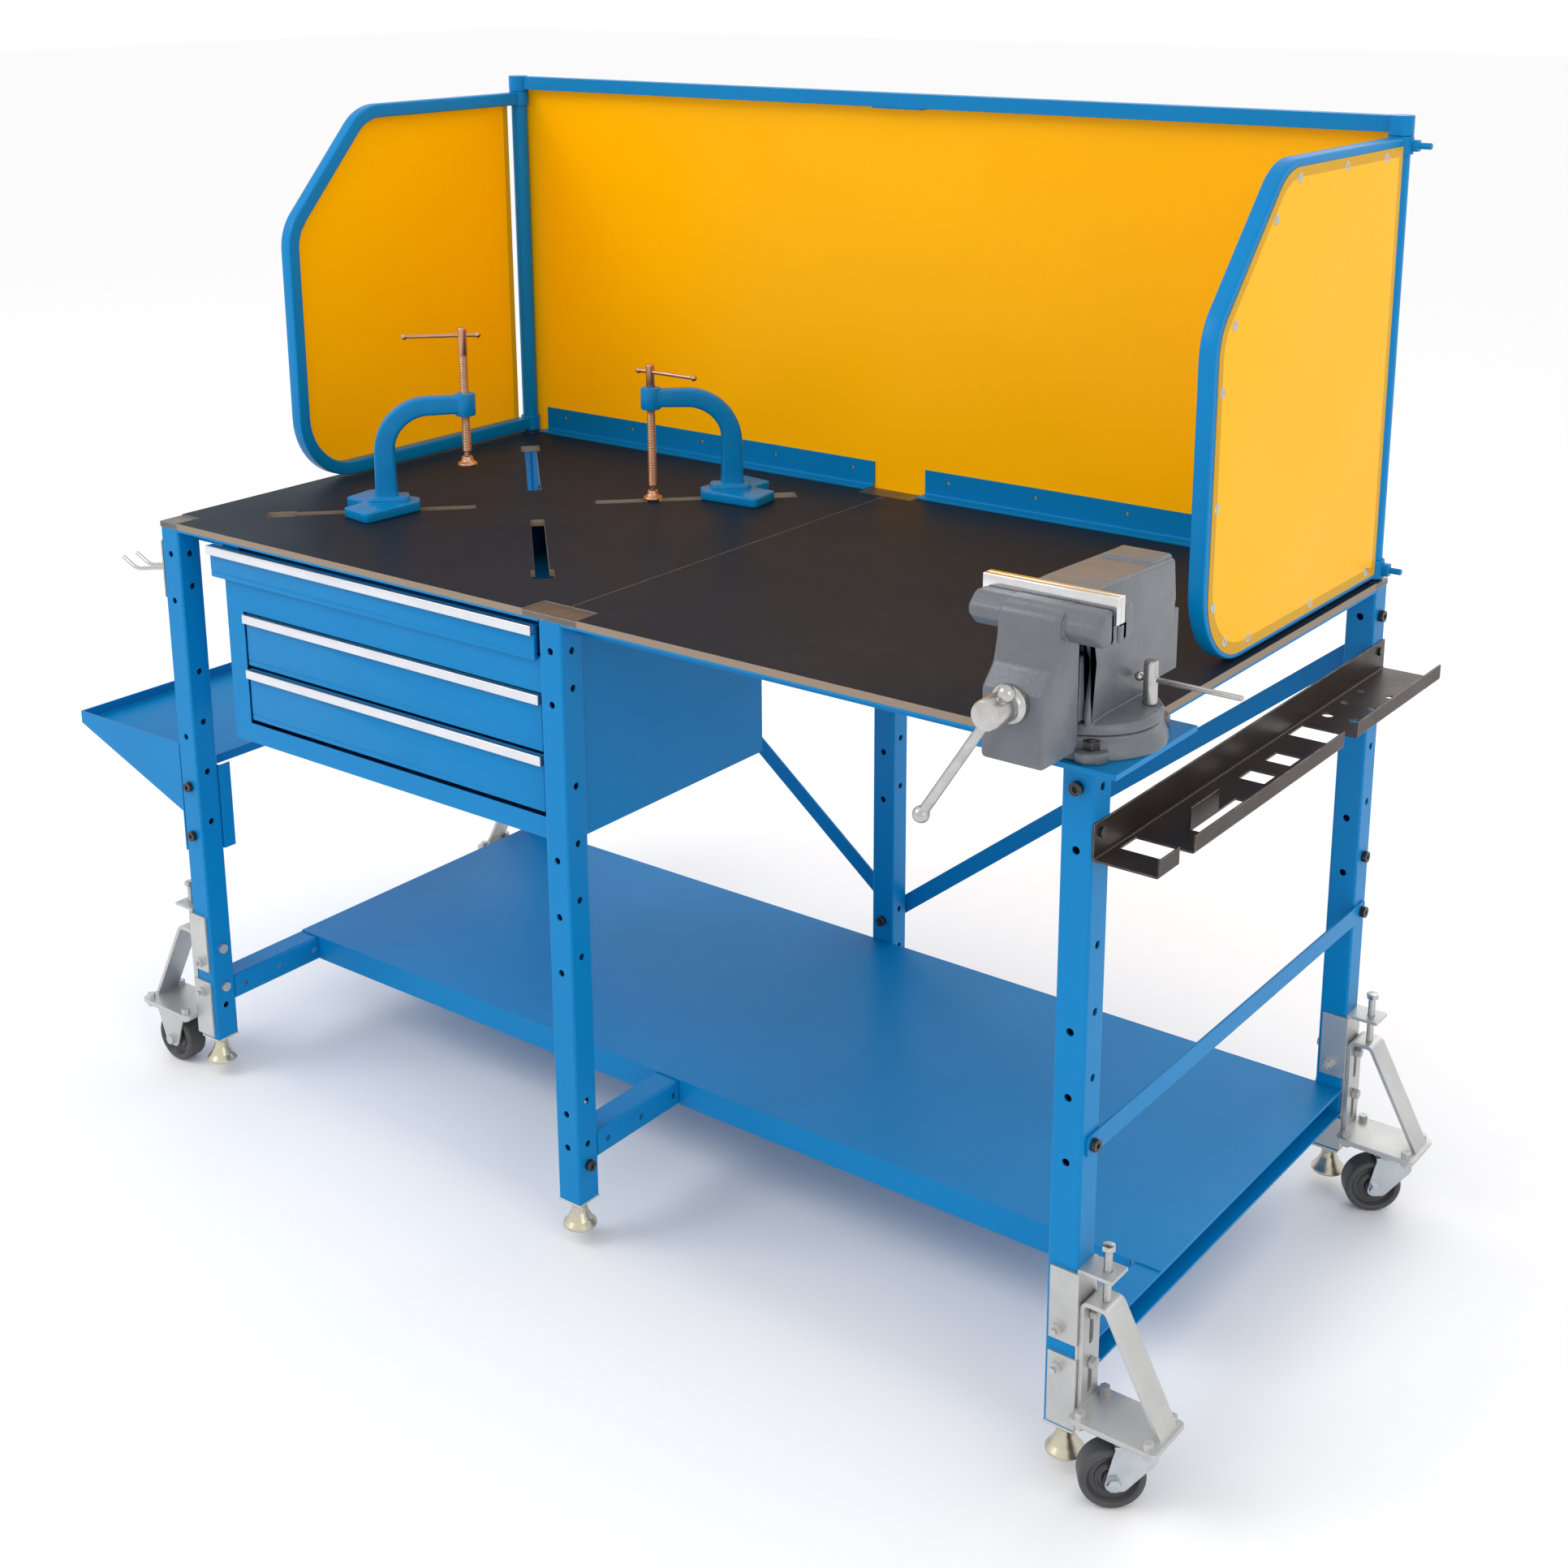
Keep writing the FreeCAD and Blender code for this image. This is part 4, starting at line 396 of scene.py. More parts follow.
def soften(points, radii, steps=6, closed=True):
    """Corners become arcs: centre = P + (u + v) r / (|u + v| sin(a / 2)), where u and v point to the
    neighbours and a is the angle between them; the arc turns evenly from one touching point to the other."""
    points = np.array(points, float)
    made = []
    for i, (corner, radius) in enumerate(zip(points, radii)):
        if radius == 0 or (not closed and i in (0, len(points) - 1)):
            made.append(corner[None])
            continue
        u, v = points[i - 1] - corner, points[(i + 1) % len(points)] - corner
        u, v = u / np.linalg.norm(u), v / np.linalg.norm(v)
        half = math.acos(np.clip(np.dot(u, v), -1, 1)) / 2
        centre = corner + (u + v) / np.linalg.norm(u + v) * radius / math.sin(half)
        reach = radius / math.tan(half)
        start, end = corner + u * reach - centre, corner + v * reach - centre
        turn = math.pi - 2 * half
        s = np.linspace(0, 1, steps + 1)[:, None]
        made.append(centre + (np.sin((1 - s) * turn) * start + np.sin(s * turn) * end) / math.sin(turn))
    return np.concatenate(made)


def sweep(path, section, normal, size=None):
    """A section of (side, normal) offsets carried along a flat path: point = path + a side + b normal, where
    side is the path's direction crossed with the plane's normal; size scales the section at each path point."""
    path, normal = np.array(path, float), np.array(normal, float)
    steps = np.diff(path, axis=0)
    steps /= np.linalg.norm(steps, axis=1, keepdims=True)
    tangent = np.concatenate([steps[:1], steps[:-1] + steps[1:], steps[-1:]])
    tangent /= np.linalg.norm(tangent, axis=1, keepdims=True)
    side = np.cross(tangent, normal)
    section = np.array(section)[None] * (np.ones((len(path), 1)) if size is None else np.array(size))[:, None]
    return skin(path[:, None] + section[..., :1] * side[:, None] + section[..., 1:] * normal)


def circle(radius, steps=20):
    """Points at r cos t, r sin t."""
    t = np.linspace(0, 2 * np.pi, steps, endpoint=False)
    return np.stack([radius * np.cos(t), radius * np.sin(t)], axis=-1)


def rectangle(low, high, radius, steps=4):
    """The rectangle between two corners, with rounded corners."""
    (x0, y0), (x1, y1) = low, high
    return soften([(x0, y0), (x1, y0), (x1, y1), (x0, y1)], [radius] * 4, steps)


def slab(outline, low, high, edge, axes, steps=3):
    """A flat outline made thick, with quarter-round edges: the row at angle a is drawn in by e (1 - sin a)
    and stands e (1 - cos a) from its face. Drawing in moves a point by (n1 + n2) / (1 + n1 n2)."""
    outline = np.array(outline, float)
    ahead = np.roll(outline, -1, axis=0) - outline
    if np.sum(outline[:, 0] * np.roll(outline[:, 1], -1) - outline[:, 1] * np.roll(outline[:, 0], -1)) < 0:
        outline = outline[::-1]
        ahead = np.roll(outline, -1, axis=0) - outline
    ahead /= np.linalg.norm(ahead, axis=1, keepdims=True)
    inward = np.stack([-ahead[:, 1], ahead[:, 0]], axis=-1)
    before = np.roll(inward, 1, axis=0)
    draw = (inward + before) / (1 + np.sum(inward * before, axis=1, keepdims=True))
    a = np.linspace(0, np.pi / 2, steps + 1)
    inset, rise = edge * (1 - np.sin(a)), edge * (1 - np.cos(a))
    inset, level = np.concatenate([inset, inset[::-1]]), np.concatenate([low + rise, high - rise[::-1]])
    flat_rows = outline[None] + draw[None] * inset[:, None, None]
    heights = np.broadcast_to(level[:, None, None], flat_rows.shape[:2] + (1,))
    return skin(carry(np.concatenate([flat_rows, heights], axis=-1), axes))


def hexagon(across, low, high, axes, chamfer=1.2, both=False):
    """A hexagon head or nut: the radius is the smaller of the flat's a / cos(t mod 60 - 30) and a cone that
    starts at 0.95 a on the end face and opens away from it."""
    t = np.linspace(0, 2 * np.pi, 48, endpoint=False)
    flat_radius = across / 2 / np.cos(t % (np.pi / 3) - np.pi / 6)
    below = np.array([0, 0.3, 0.6, 1.0]) * chamfer
    level = np.concatenate([low + below if both else [low], high - below[::-1]])
    depth = np.minimum(high - level, level - low + (0 if both else 99))
    radius = np.minimum(flat_radius, across / 2 * 0.95 + depth[:, None] * 1.9)
    heights = np.repeat(level[:, None], 48, axis=1)
    return skin(carry(np.stack([radius * np.cos(t), radius * np.sin(t), heights], axis=-1), axes))


def thread(radius, depth, pitch, low, high, axes, around=20, per_turn=6):
    """A screw thread: the radius falls by depth times |2 frac(z / pitch - t / 2 pi) - 1|, a triangle wave."""
    z = np.linspace(low, high, int((high - low) / pitch * per_turn) + 1)[:, None]
    t = np.linspace(0, 2 * np.pi, around, endpoint=False)[None]
    r = radius - depth * np.abs(2 * ((z / pitch - t / (2 * np.pi)) % 1) - 1)
    return skin(carry(np.stack([r * np.cos(t), r * np.sin(t), z + 0 * t], axis=-1), axes))


def ball_rod(low, high, radius, ball, axes, steps=20, flat_end=False):
    """A rod with a ball on each end: near an end the profile follows sqrt(b b - (h - centre)^2)."""
    turn = np.linspace(0, np.pi - math.asin(radius / ball), 12)
    cap = np.stack([ball * np.sin(turn), -ball * np.cos(turn)], axis=-1)
    top = cap[::-1] * (1, -1) + (0, high)
    if flat_end:
        top = np.array([(radius, high - 0.8), (radius - 0.8, high), (0, high)])
    return lathe(np.concatenate([cap + (0, low), top]), axes, steps)


def put(name, parts, material, body, replaces=(), crease=32):
    """One piece from its shells in millimetres: doubles merged, faces turned outwards, smooth shading
    except across edges sharper than crease degrees."""
    starts = np.cumsum([0] + [len(points) for points, faces in parts])
    points = np.concatenate([points for points, faces in parts]) * MM
    faces = [[int(start) + corner for corner in face]
             for start, (_, shell) in zip(starts, parts) for face in shell]
    mesh = bpy.data.meshes.new(name)
    mesh.from_pydata(points.tolist(), [], faces)
    work = bmesh.new()
    work.from_mesh(mesh)
    bmesh.ops.remove_doubles(work, verts=work.verts, dist=0.000005)
    bmesh.ops.recalc_face_normals(work, faces=work.faces)
    work.to_mesh(mesh)
    work.free()
    mesh.materials.append(material)
    mesh.shade_smooth()
    mesh.set_sharp_from_angle(angle=math.radians(crease))
    piece = bpy.data.objects.new(name, mesh)
    scene.collection.objects.link(piece)
    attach(piece, body)
    if replaces:
        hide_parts(*replaces)
    return piece


print("surface helpers ready")

# %% [markdown]
# A slot clamp is one casting: a bowed arm that thickens towards its root, a wedge-shaped foot and a round boss.
# The arm is a rounded bar swept along a bent line, and its section grows smoothly near the foot, so the
# outline has the bow of a pattern maker's curve instead of a mitred corner.

# %% Slot clamps
TABLE_TOP = 880.0
SCREW_REACH = 118.0
SCREW_PITCH = 2.54
BAR_HEIGHT, BAR_SHIFT, BAR_HALF = 177, 30, 52


def clamp(word, column, heading, lift, bar_heading):
    """Foot, arm, boss, screw, shoe and bar of one clamp, about its column; heading points to the screw."""
    ahead = (math.cos(math.radians(heading)), math.sin(math.radians(heading)), 0)
    base = frame_at((*column, TABLE_TOP), across=ahead)
    bend = soften([(0, 0, 10), (0, 0, 152.5), (110, 0, 153.8)], [0, 66, 0], 16, closed=False)
    bend = np.concatenate([bend[:1] + [(0, 0, h) for h in (0, 4, 9, 16, 28, 46)], bend[1:]])
    along = np.concatenate([[0], np.cumsum(np.linalg.norm(np.diff(bend, axis=0), axis=1))])
    share = along / along[-1]
    depth = 1.0 - 0.20 * share + 0.30 * np.exp(-along / 9)
    width = 1.0 - 0.10 * share + 0.25 * np.exp(-along / 9)
    bar = rectangle((-15.9, -13), (15.9, 13), 5, 4)
    side_of = base[1]
    arm = sweep(carry(bend, base), bar, side_of, np.stack([depth, width], axis=-1))
    foot = slab(soften([(47, -12), (47, 12), (-26, 76), (-61, 30), (-31, 0), (-61, -30), (-26, -76)],
                       [5, 5, 6, 6, 10, 6, 6]), 0.1, 15, 2.6, base)
    root = slab(rectangle((-27, -18), (33, 18), 9, 6), 8, 23, 5, base, 4)
    boss_at = frame_at(np.array([*column, TABLE_TOP]) + np.array(ahead) * SCREW_REACH)
    boss = lathe([(0, 137), (12, 137), (14.2, 137.8), (15, 140), (15, 167), (14.2, 169.2), (12, 170),
                  (0, 170)], boss_at, 40)
    shank = lathe([(0, -15.5), (13, -15.5), (13.5, -15), (13.5, -11), (13, -10.4), (8.5, -10.3), (8.5, 2),
                   (0, 2)], base, 32)
    put(f"{word}_clamp_casting", [arm, foot, root, boss, shank], enamel_blue, f"{word}_clamp",
        [f"{word}_clamp_frame"], 40)
    shoe_profile = soften([(0, 0), (13.6, 0), (14.5, 4.5), (9.6, 8.2), (8.2, 11.5), (7.4, 15), (0, 15)],
                          [0, 1.5, 2.2, 2.5, 1.5, 1.0, 0], 5, closed=False)
    shoe_at = boss_at + np.array([[0] * 3, [0] * 3, [0] * 3, [0, 0, lift]])
    put(f"{word}_swivel_shoe", [lathe(shoe_profile, shoe_at, 40)], copper_plate, f"{word}_clamp_shoe",
        [f"{word}_clamp_shoe"])
    screw_at = shoe_at + np.array([[0] * 3, [0] * 3, [0] * 3, [0, 0, 15.3]])
    neck = lathe([(0, 0), (4.2, 0), (4.2, 6), (5.4, 6.4), (5.4, 9), (0, 9)], screw_at, 20)
    winding = thread(6.4, 0.85, SCREW_PITCH, 7.5, 148, screw_at)
    head = lathe([(0, 146), (5.4, 146), (6.4, 148), (6.4, 186.6), (5.2, 188), (0, 188)], screw_at, 32)
    put(f"{word}_threaded_screw", [neck, winding, head], copper_plate, f"{word}_clamp_screw",
        [f"{word}_clamp_screw"])
    across_bar = (math.cos(math.radians(bar_heading)), math.sin(math.radians(bar_heading)), 0)
    bar_at = frame_at(screw_at[3] + (0, 0, BAR_HEIGHT), up=across_bar, across=(0, 0, 1))
    sliding_bar = ball_rod(BAR_SHIFT - BAR_HALF, BAR_SHIFT + BAR_HALF, 2.8, 4.6, bar_at)
    put(f"{word}_sliding_bar", [sliding_bar], copper_plate, f"{word}_clamp_bar",
        [f"{word}_clamp_bar"])
    return boss_at[3]


for clamp_row in (("left", (-536.32, -151.32), 45.0, 62.0, 225.0),
                  ("right", (-179.94, 205.06), 225.0, 0.3, 0.0)):
    print(clamp_row[0], "clamp, boss over", clamp(*clamp_row).round(1)[:2])

# %% [markdown]
# The vise is a set of grey castings with hard bright jaws, a plated spindle and two plated handles. The
# castings are stacks of rounded slabs; the turned parts are lathes, so that their ends have real radii to
# catch the light.

# %% Vise
VISE_X, VISE_Y, SPINDLE_Z, HANDLE_Y = 745.0, -362.0, 966.0, -553.0
JAW_WIDE, JAW_LOW, JAW_TOP = 76.0, 1040.2, 1068.0
side_on = frame_at((VISE_X, 0, 0), up=(1, 0, 0), across=(0, 1, 0))


def jaw_plate(back, front):
    """Hard jaw plate: a bar as wide as the jaws with small rounded edges."""
    return slab(rectangle((back, JAW_LOW), (front, JAW_TOP), 1.0, 3), -JAW_WIDE, JAW_WIDE, 0.8, side_on)


body_shapes = [
    slab(soften([(-430, 934), (-427, 918), (-290, 918), (-262, 950), (-250, 1012), (-256, 1056), (-398, 1061),
                 (-438.6, 1061), (-438.6, 1020), (-420, 985)], [6, 3, 20, 20, 14, 6, 30, 3, 8, 10]),
         low, high, 3.0, side_on) for low, high in ((-35, -27.6), (27.6, 35))]
body_shapes += [
    slab(soften([(-424, 994.8), (-256, 994.8), (-251, 1012), (-256, 1055.5), (-398, 1060.8), (-438.8, 1060.8),
                 (-438.8, 1020), (-427, 1004)], [0, 0, 8, 6, 30, 3, 6, 6]), -32.5, 32.5, 0.3, side_on),
    slab(soften([(-438.8, 1020), (-438.8, 1059), (-424, 1060), (-417.5, 1052), (-417.5, 1026), (-424, 1019)],
                [1, 2, 5, 5, 5, 5]), -74, 74, 4, side_on, 4),
    slab(soften([(-446.4, 1020), (-446.4, 1039.8), (-430, 1039.8), (-430, 1019)], [4, 1.0, 1, 3]),
         -74, 74, 2.4, side_on),
    slab(soften([(-300, 1030), (-300, 1059.5), (-252, 1059.5), (-252, 1040)], [3, 4, 5, 5]),
         -30, 30, 4, side_on, 4),
    lathe([(0, 910.6), (72.5, 910.6), (74, 912), (74, 917), (71, 921.5), (64, 923.5), (48, 925.2), (0, 925.3)],
          frame_at((VISE_X, VISE_Y, 0)), 72),
    lathe([(0, 910.6), (15, 910.6), (15, 921.5), (13.5, 923.4), (0, 923.4)], frame_at((800, -340, 0)), 32)]
put("vise_body_casting", body_shapes, vise_grey, "vise_body", ["vise_body"], 40)
moving_shapes = [
    slab(soften([(-520, 901), (-456, 901), (-449, 912), (-449, 1040), (-455.2, 1040), (-455.2, 1058),
                 (-492, 1052), (-495, 1020), (-501, 996), (-520, 976)], [7, 6, 4, 1, 1, 5, 12, 14, 14, 9]),
         -35, 35, 4.5, side_on, 4),
    slab(soften([(-455.2, 1021), (-455.2, 1056), (-474, 1056.5), (-487, 1044), (-487, 1034), (-474, 1021)],
                [2, 3, 12, 9, 9, 10]), -74, 74, 6, side_on, 5),
    slab(soften([(-452, 1021), (-449, 1021), (-449, 1040), (-456, 1040), (-456, 1021)], [0, 1, 1, 0, 0]),
         -73, 73, 0.5, side_on)]
for low, high in ((-27, -18), (18, 27)):
    moving_shapes.append(slab(rectangle((-450, 926), (-228, 994), 2), low, high, 1.2, side_on))
moving_shapes.append(slab(rectangle((-450, 926), (-228, 935), 1.5), -26, 26, 1.0, side_on))
put("vise_moving_casting", moving_shapes, vise_grey, "vise_moving_jaw", ["vise_moving_jaw"], 40)
put("fixed_jaw_plate", [jaw_plate(-446.4, -439.0)], chrome, "vise_body")
put("moving_jaw_plate", [jaw_plate(-454.8, -447.2)], chrome, "vise_moving_jaw")
print("vise castings and jaws")

# %% [markdown]
# The swivel base is a low drum with three bolted lugs. The spindle head is a polished drum with a collar
# behind it, and the handle slides through it; its ends are turned knobs. The lock lever is a plain pin
# through a tall round head.

# %% Vise base, spindle and handles
LUG_ANGLES = (-60, 60, 180)
drum = frame_at((VISE_X, VISE_Y, 0))
base_shapes = [lathe([(0, 886), (79, 886), (80, 887), (79, 893), (75.5, 899), (74, 904), (74, 908.5),
                      (72.5, 910), (0, 910)], drum, 96)]
for lug_angle in LUG_ANGLES:
    outward = (math.cos(math.radians(lug_angle)), math.sin(math.radians(lug_angle)), 0)
    lug = frame_at((VISE_X, VISE_Y, 0), across=outward)
    pad_outline = soften([(54, -17), (84, -17), (91, -8), (91, 8), (84, 17), (54, 17)], [1, 4, 4, 4, 4, 1])
    base_shapes.append(slab(pad_outline, 886, 898, 2.2, lug))
put("vise_swivel_base", base_shapes, vise_grey, "bench", ["vise_base"], 40)
spindle_at = frame_at((VISE_X, 0, SPINDLE_Z), up=(0, -1, 0))
spindle_shapes = [
    lathe([(0, 520.6), (18.5, 520.6), (20, 522), (20, 527), (18.5, 528.4), (16.5, 529.5), (15, 532), (15, 536),
           (16, 539), (16, 567), (14.8, 569.6), (13.5, 570), (0, 570)], spindle_at, 48),
    lathe([(0, 424), (12, 424), (12, 521), (0, 521)], spindle_at, 32),
    thread(10, 1.2, 5.0, 238, 426, spindle_at)]
put("vise_screw", spindle_shapes, bright_steel, "vise_spindle", ["vise_spindle"])
lean = np.array([-81, 0, -125]) / math.hypot(81, 125)
handle_at = frame_at((VISE_X, HANDLE_Y, SPINDLE_Z), up=lean, across=(0, 1, 0))
put("vise_tommy_bar", [ball_rod(-25.5, 149, 5.5, 9.0, handle_at, 28)], bright_steel, "vise_handle",
    ["vise_handle"])
lever_at = frame_at((800, -340, 0))
lever_bar_at = frame_at((800, -340, 951), up=(1, 0, 0), across=(0, 0, 1))
lever_shapes = [lathe([(0, 923.8), (6.4, 923.8), (7.5, 925), (7.5, 968.6), (6.2, 970.6), (0, 971)],
                      lever_at, 32),
                ball_rod(-13, 102, 3.0, 5.0, lever_bar_at, 20, flat_end=True)]
put("vise_lock_pin", lever_shapes, bright_steel, "vise_lock_lever", ["vise_lock_lever"])
print("vise turned parts")

# %% [markdown]
# The jacking casters are plated steel. The wheels are hard grey treads on dark hubs, and each levelling foot
# is a pressed bell with yellow plating. Threads are real grooves, because from close up a smooth rod never
# reads as a screw.

# %% Casters and feet
HALF_LENGTH, LEG_Y = 762.0, 361.95
WHEEL_RADIUS = 38.0
CASTER_OUT, CASTER_ASIDE = 68, 6
SWIVEL_TURN, SWIVEL_TRAIL = 37, 22.0
JACK_OUT, JACK_PITCH = 27, 1.5875
CORNERS = [("front_left", -1, -LEG_Y), ("front_right", 1, -LEG_Y),
           ("rear_left", -1, LEG_Y), ("rear_right", 1, LEG_Y)]
for word, side, y in CORNERS:
    turn = math.radians(SWIVEL_TURN if side > 0 else 0)
    trail = SWIVEL_TRAIL if side > 0 else 0.0
    hub_at = frame_at((side * (HALF_LENGTH + CASTER_OUT) - trail * math.cos(turn),
                       y - CASTER_ASIDE - trail * math.sin(turn), WHEEL_RADIUS),
                      up=(-math.sin(turn), math.cos(turn), 0), across=(0, 0, 1))
    rim = [(26, -9), (29.5, -15), (31.5, -16), (34.5, -16), (37.2, -13.5), (38, -10)]
    tread = soften(rim + [(r, -h) for r, h in rim[::-1]], [0, 2, 1.5, 2.5, 3, 4, 4, 3, 2.5, 1.5, 2, 0], 4,
                   closed=False)
    put(f"{word}_tread", [lathe(tread, hub_at, 72)], hard_tread, f"{word}_wheel",
        [f"{word}_wheel"])
    face = [(5.1, -16), (10.5, -16), (11.5, -14.5), (12.5, -10.5), (17, -9), (18, -10.5), (19.5, -10.5),
            (20.5, -8.5), (26.6, -8.5)]
    hub = face + [(r, -h) for r, h in face[::-1]]
    put(f"{word}_hub", [lathe(hub + hub[:1], hub_at, 48)], gunmetal, f"{word}_wheel")
    bolt_at = frame_at((side * (HALF_LENGTH + JACK_OUT), y, 0))
    bolt = [thread(4.8, 0.5, JACK_PITCH, 235.3, 298, bolt_at, 18), hexagon(14.3, 298, 304, bolt_at, 1.0)]
    put(f"{word}_jack_screw", bolt, bright_steel, f"{word}_jack_bolt",
        [f"{word}_jack_bolt"])
bell = soften([(0, 22), (21.6, 22), (23, 23.4), (22.6, 26.4), (17, 33), (11.2, 44), (9.6, 51.8), (0, 51.8)],
              [0, 1.0, 1.0, 2, 8, 8, 1.5, 0], 5, closed=False)
for foot_name in sorted(n for n in NODES if n.endswith("_foot")):
    low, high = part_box(foot_name)
    foot_at = frame_at(((low[0] + high[0]) / 2 / MM, (low[1] + high[1]) / 2 / MM, 0))
    nut_at = frame_at(foot_at[3], across=(math.cos(0.5), math.sin(0.5), 0))
    shapes = [lathe(bell, foot_at, 48), hexagon(19, 51.4, 60, nut_at, 1.4, both=True),
              thread(6.0, 0.6, 1.75, 59.5, 100, foot_at, 18)]
    put(foot_name + "_bell", shapes, yellow_zinc, foot_name, [foot_name])
print("casters and feet")

# %% [markdown]
# The side screens are bent square tube with collars that turn on the rear posts. Film is clipped over the
# frame with eyelets.

# %% Side screen frames
POST_X, POST_Y = 745.0, 366.0
TUBE_HALF, TUBE_CORNER = 10, 2.6
SIDE_PATH = soften([(351.5, 893), (-126, 893), (-126, 1266), (26, 1431), (351.5, 1431)],
                   [0, 92, 70, 70, 0], 14, closed=False)
for word, side in (("left", -1), ("right", 1)):
    tube_path = np.stack([np.full(len(SIDE_PATH), side * POST_X), SIDE_PATH[:, 0], SIDE_PATH[:, 1]], axis=-1)
    shapes = [sweep(tube_path, rectangle((-TUBE_HALF, -TUBE_HALF), (TUBE_HALF, TUBE_HALF), TUBE_CORNER),
                    (1, 0, 0))]
    post_at = frame_at((side * POST_X, POST_Y, 0))
    for low, high in ((881, 905), (1420, 1442)):
        shapes.append(lathe([(13.2, low), (15.2, low), (16, low + 0.8), (16, high - 0.8), (15.2, high),
                             (13.2, high), (13.2, low)], post_at, 40))
        if side > 0:
            lug_at = frame_at((POST_X + 23, POST_Y, (low + high) / 2), up=(1, 0, 0), across=(0, 0, 1))
            lug_half = (high - low) / 2 - 4
            shapes.append(slab(rectangle((-lug_half, -6), (lug_half, 6), 2), -10, 1, 0.8, lug_at))
            shapes.append(lathe([(0, 0), (4, 0), (4, 16), (3, 17), (0, 17)], lug_at, 20))
    put(f"{word}_screen_tube", shapes, powder_blue, f"{word}_screen",
        [f"{word}_screen_frame"])
print("screen frames:", len(SIDE_PATH), "points along each")

# %% [markdown]
# The film is a thin sheet that is nearly flat; a slow ripple in its height breaks its reflections the way
# stretched vinyl does. A side film's outline lies a little inside the tube's outer edge, and the band
# nearest the edge takes the hem's finish.

# %% Films


def film_sheet(name, outline, place, thick, hem_share, body, replaces):
    """A thin closed sheet on a flat outline: rings shrink towards the middle as c + s (p - c), and each point
    stands off the plane by 1.1 sin(a / 61 + 1) sin(b / 47) mm, fading to nothing at the edge as s nears 1."""
    outline = np.array(outline, float)
    middle = outline.mean(axis=0)
    share = np.array([1.0, hem_share, 0.93, 0.88, 0.8, 0.7, 0.58, 0.45, 0.3, 0.15, 0.0])[:, None, None]
    rings = middle + share * (outline - middle)
    fade = np.clip((1 - share) * 6, 0, 1)
    ripple = 1.1 * np.sin(rings[..., :1] / 61 + 1) * np.sin(rings[..., 1:] / 47) * fade
    front = np.concatenate([rings, ripple + thick], axis=-1)[::-1]
    back = np.concatenate([rings, ripple], axis=-1)
    grid = carry(np.concatenate([front, back]), place)
    piece = put(name, [skin(grid, caps=False)], amber_film, body, replaces, 60)
    piece.data.materials.append(amber_hem)
    across, count = len(outline), len(share)
    hem = np.zeros(len(piece.data.polygons), dtype=np.int32)
    hem[(count - 2) * across:(count + 1) * across] = 1
    piece.data.polygons.foreach_set("material_index", hem)
    ahead = np.roll(outline, -1, axis=0)
    area = abs(np.sum(outline[:, 0] * ahead[:, 1] - outline[:, 1] * ahead[:, 0])) / 2 * MM * MM
    return float(area)


def dense(outline, step=14.0):
    """The same outline with points no further apart than step, evenly spaced along each side."""
    ahead = np.roll(outline, -1, axis=0)
    count = np.maximum(1, np.ceil(np.linalg.norm(ahead - outline, axis=1) / step)).astype(int)
    return np.concatenate([a + (b - a) * np.linspace(0, 1, n, endpoint=False)[:, None]
                           for a, b, n in zip(outline, ahead, count)])


FILM_THICK, FILM_FACE, REAR_FACE = 0.9, 755.1, 382.55
REAR_HEM, SIDE_HEM = 0.988, 0.955
side_cut = dense(soften([(348.5, 890), (-126, 890), (-126, 1266), (25, 1431), (348.5, 1431)],
                        [0, 86, 66, 66, 0], 12))
rear_cut = dense(rectangle((-750, 868), (750, 1462), 3, 3), 20)
SHEETS = [("rear_amber_sheet", rear_cut, frame_at((0, REAR_FACE, 0), up=(0, 1, 0), across=(1, 0, 0)), "bench",
           "rear_screen_film")]
for word, side in (("left", -1), ("right", 1)):
    side_place = frame_at((side * FILM_FACE, 0, 0), up=(side, 0, 0), across=(0, 1, 0))
    SHEETS.append((f"{word}_amber_sheet", side_cut, side_place, f"{word}_screen", f"{word}_screen_film"))
for name, outline, place, body, film_node in SHEETS:
    if place[1][2] < 0:
        outline = outline * (1, -1)
    hem_share = REAR_HEM if body == "bench" else SIDE_HEM
    area = film_sheet(name, outline, place, FILM_THICK, hem_share, body, [film_node])
    print(name, "cut area", round(area, 3), "square metres")

# %% [markdown]
# Each eyelet is a small turned ring of plated steel with a thin disc in its middle. They follow the side
# film's edge, closer together at the two cut corners.

# %% Film eyelets
EYELETS = [(299, 1421), (183, 1421), (54, 1419), (-2, 1378), (-92, 1273), (-115, 1203), (-115, 1074),
           (-113, 960), (-80, 912), (-19, 901), (151, 900), (319, 900)]
eyelet = soften([(2.6, 0), (6.2, 0), (6.2, 1.2), (2.6, 1.2)], [0.3, 0.3, 0.5, 0.5], 3)
for word, side in (("left", -1), ("right", 1)):
    shapes = []
    for y, z in EYELETS:
        at = frame_at((side * 755.3, y, z), up=(side, 0, 0), across=(0, 1, 0))
        shapes.append(lathe(np.concatenate([eyelet, eyelet[:1]]), at, 20))
        shapes.append(lathe([(0, 0.2), (2.8, 0.2), (2.8, 0.6), (0, 0.6)], at, 16))
    put(f"{word}_eyelets", shapes, bright_steel, f"{word}_screen")
print(len(EYELETS), "eyelets on each side film")

# %% [markdown]
# Each drawer is a folded steel box behind a flat front, and the pull is a bright aluminium strip along the
# front's upper edge. The front's lower lip is a fold, so a thin line runs a little above the bottom.

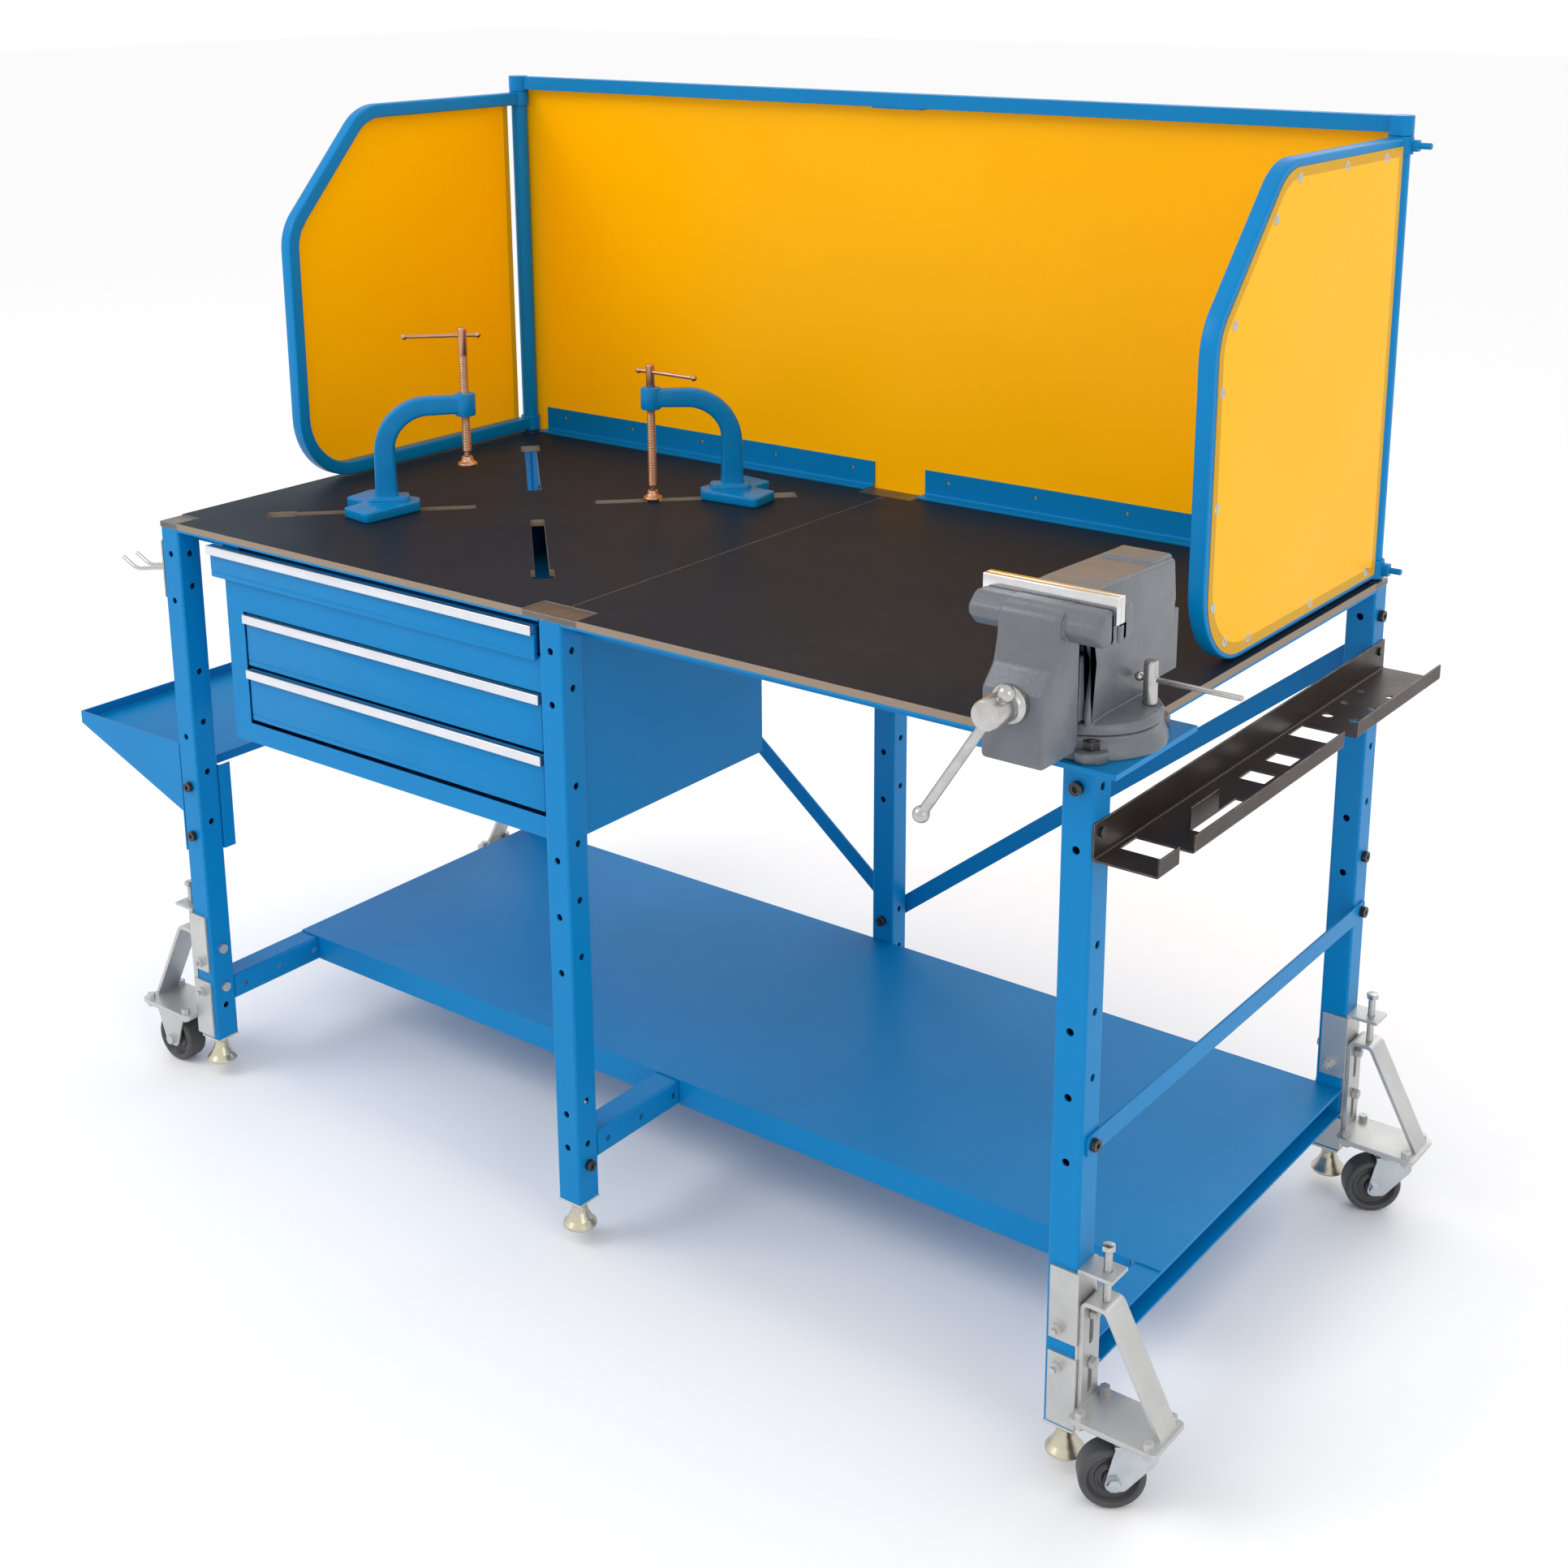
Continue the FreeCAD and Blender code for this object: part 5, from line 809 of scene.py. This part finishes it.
# %% Drawers and their pulls
WALL = 1.6
facing = frame_at((0, 0, 0), up=(0, -1, 0))
DRAWERS = {"top_drawer": ((-661, -32), (812, 859), (369, 376), (376, 383), 846),
           "middle_drawer": ((-604, -32), (688, 765), (360.5, 366.5), (366.5, 373.5), 752),
           "bottom_drawer": ((-604, -32), (606, 683), (360.5, 366.5), (366.5, 373.5), 670)}
for word, ((x0, x1), (z0, z1), (back, front), (pull_back, pull_front), pull_low) in DRAWERS.items():
    low, high = (np.array(corner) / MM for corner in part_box(word))
    box_x0, box_x1, box_back = max(x0 + 14, low[0]), x1 - 14, high[1] - 0.2
    floor_at = frame_at((0, 0, 0))
    front_face = slab(rectangle((x0, z0 + 8.2), (x1, z1), 1.6), back, front, 1.2, facing)
    fold = slab(rectangle((x0, z0), (x1, z0 + 7.8), 1.6), back, front, 1.4, facing)
    web = slab(rectangle((x0 + 1, z0 + 4), (x1 - 1, z0 + 12), 0.5), back, front - 0.8, 0.2, facing)
    tray = [slab(rectangle((box_x0, -back), (box_x1, box_back), 2), low[2] + 0.2, low[2] + 2.2, 0.3, floor_at)]
    for wall_low, wall_high in (((box_x0, -back), (box_x0 + WALL, box_back)),
                                ((box_x1 - WALL, -back), (box_x1, box_back)),
                                ((box_x0, box_back - WALL), (box_x1, box_back))):
        tray.append(slab(rectangle(wall_low, wall_high, 0.4), low[2] + 0.4, z1 - 10, 0.3, floor_at))
    put(f"{word}_box", [front_face, fold, web, *tray], powder_blue, word, [word])
    pull = slab(rectangle((x0, pull_low), (x1, z1), 1.2), pull_back - 0.2, pull_front, 1.0, facing)
    lip = slab(rectangle((x0, pull_low), (x1, pull_low + 3), 1.0), pull_back - 0.2, pull_front - 0.2,
               0.9, facing)
    put(f"{word}_pull", [pull, lip], brushed_aluminium, word)
print(len(DRAWERS), "drawers")

# %% [markdown]
# Two bent rods stand out from a small plate on the left leg, and turn up at their ends to hold cable.

# %% Cable hooks
hook_plate_at = frame_at((-762, 0, 0), up=(-1, 0, 0), across=(0, 1, 0))
hooks = [slab(rectangle((-381, -850), (-343, -763), 3), 0.1, 3, 0.6, hook_plate_at)]
for y in (-374, -350):
    route = soften([(-764, y, 806), (-783, y, 803), (-829, y, 794), (-841, y, 795), (-866, y, 806)],
                   [0, 30, 14, 20, 0], 6, closed=False)
    hooks.append(sweep(route, circle(3, 16), (0, 1, 0)))
put("bent_cable_hooks", hooks, bright_steel, "bench", ["cable_hooks"])
print("hooks ready")

# %% [markdown]
# The sheet and tube parts are already the right shape, so they keep their frame meshes and only take a
# finish. A part's finish goes into its object's material slots.

# %% Finishes on the frame's own parts
KEPT = {
    powder_blue: ["front_legs", "rear_legs", "top_frame", "lower_channels", "lower_shelf", "flat_braces",
                  "cabinet_shell", "scrap_tray", "vise_mount_plate", "rear_foot_angles"],
    mill_scale: ["left_table_plate", "right_table_plate"],
    black_oxide: ["torch_rack"],
    dark_steel: ["frame_fasteners"],
    zinc: ["caster_brackets"],
}


def paint_node(name, material):
    """A frame part's object takes one material in place of its own."""
    part = NODES[name]
    part.data.materials.clear()
    part.data.materials.append(material)


def band_copy(name, node, low, high, material, body):
    """The shells of a part that lie between two heights in millimetres, as a merged copy."""
    work = bmesh.new()
    work.from_mesh(NODES[node].data)
    bmesh.ops.remove_doubles(work, verts=work.verts, dist=0.00001)
    outside = [v for v in work.verts if not low * MM <= v.co.z <= high * MM]
    bmesh.ops.delete(work, geom=outside, context="VERTS")
    mesh = bpy.data.meshes.new(name)
    work.to_mesh(mesh)
    work.free()
    mesh.materials.clear()
    mesh.materials.append(material)
    piece = bpy.data.objects.new(name, mesh)
    scene.collection.objects.link(piece)
    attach(piece, body)
    return piece


top_caps = band_copy("leg_top_caps", "leg_caps", 400, 1000, bare_steel, "bench")
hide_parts("leg_caps")
band_copy("leg_foot_inserts", "leg_caps", 0, 400, cream_zinc, "bench")
for material, names in KEPT.items():
    for name in names:
        paint_node(name, material)
DEFAULT_LOOK = {"_foot": yellow_zinc, "_wheel": hard_tread, "_jack_bolt": bright_steel,
                "_swivel_fork": blue_zinc, "_carriage": zinc, "_clamp_frame": enamel_blue, "_clamp_shoe": copper_plate,
                "_clamp_screw": copper_plate, "_clamp_bar": copper_plate, "_film": amber_film,
                "_screen_frame": powder_blue, "_drawer": powder_blue, "cable_hooks": bright_steel,
                "leg_caps": bare_steel,
                "vise_b": vise_grey, "vise_moving_jaw": vise_grey, "vise_spindle": bright_steel,
                "vise_handle": bright_steel, "vise_lock_lever": bright_steel}
done = {name for names in KEPT.values() for name in names}
for name in NODES:
    if name not in done:
        paint_node(name, next(m for key, m in DEFAULT_LOOK.items() if key in name))
print(len(NODES), "parts have a finish")
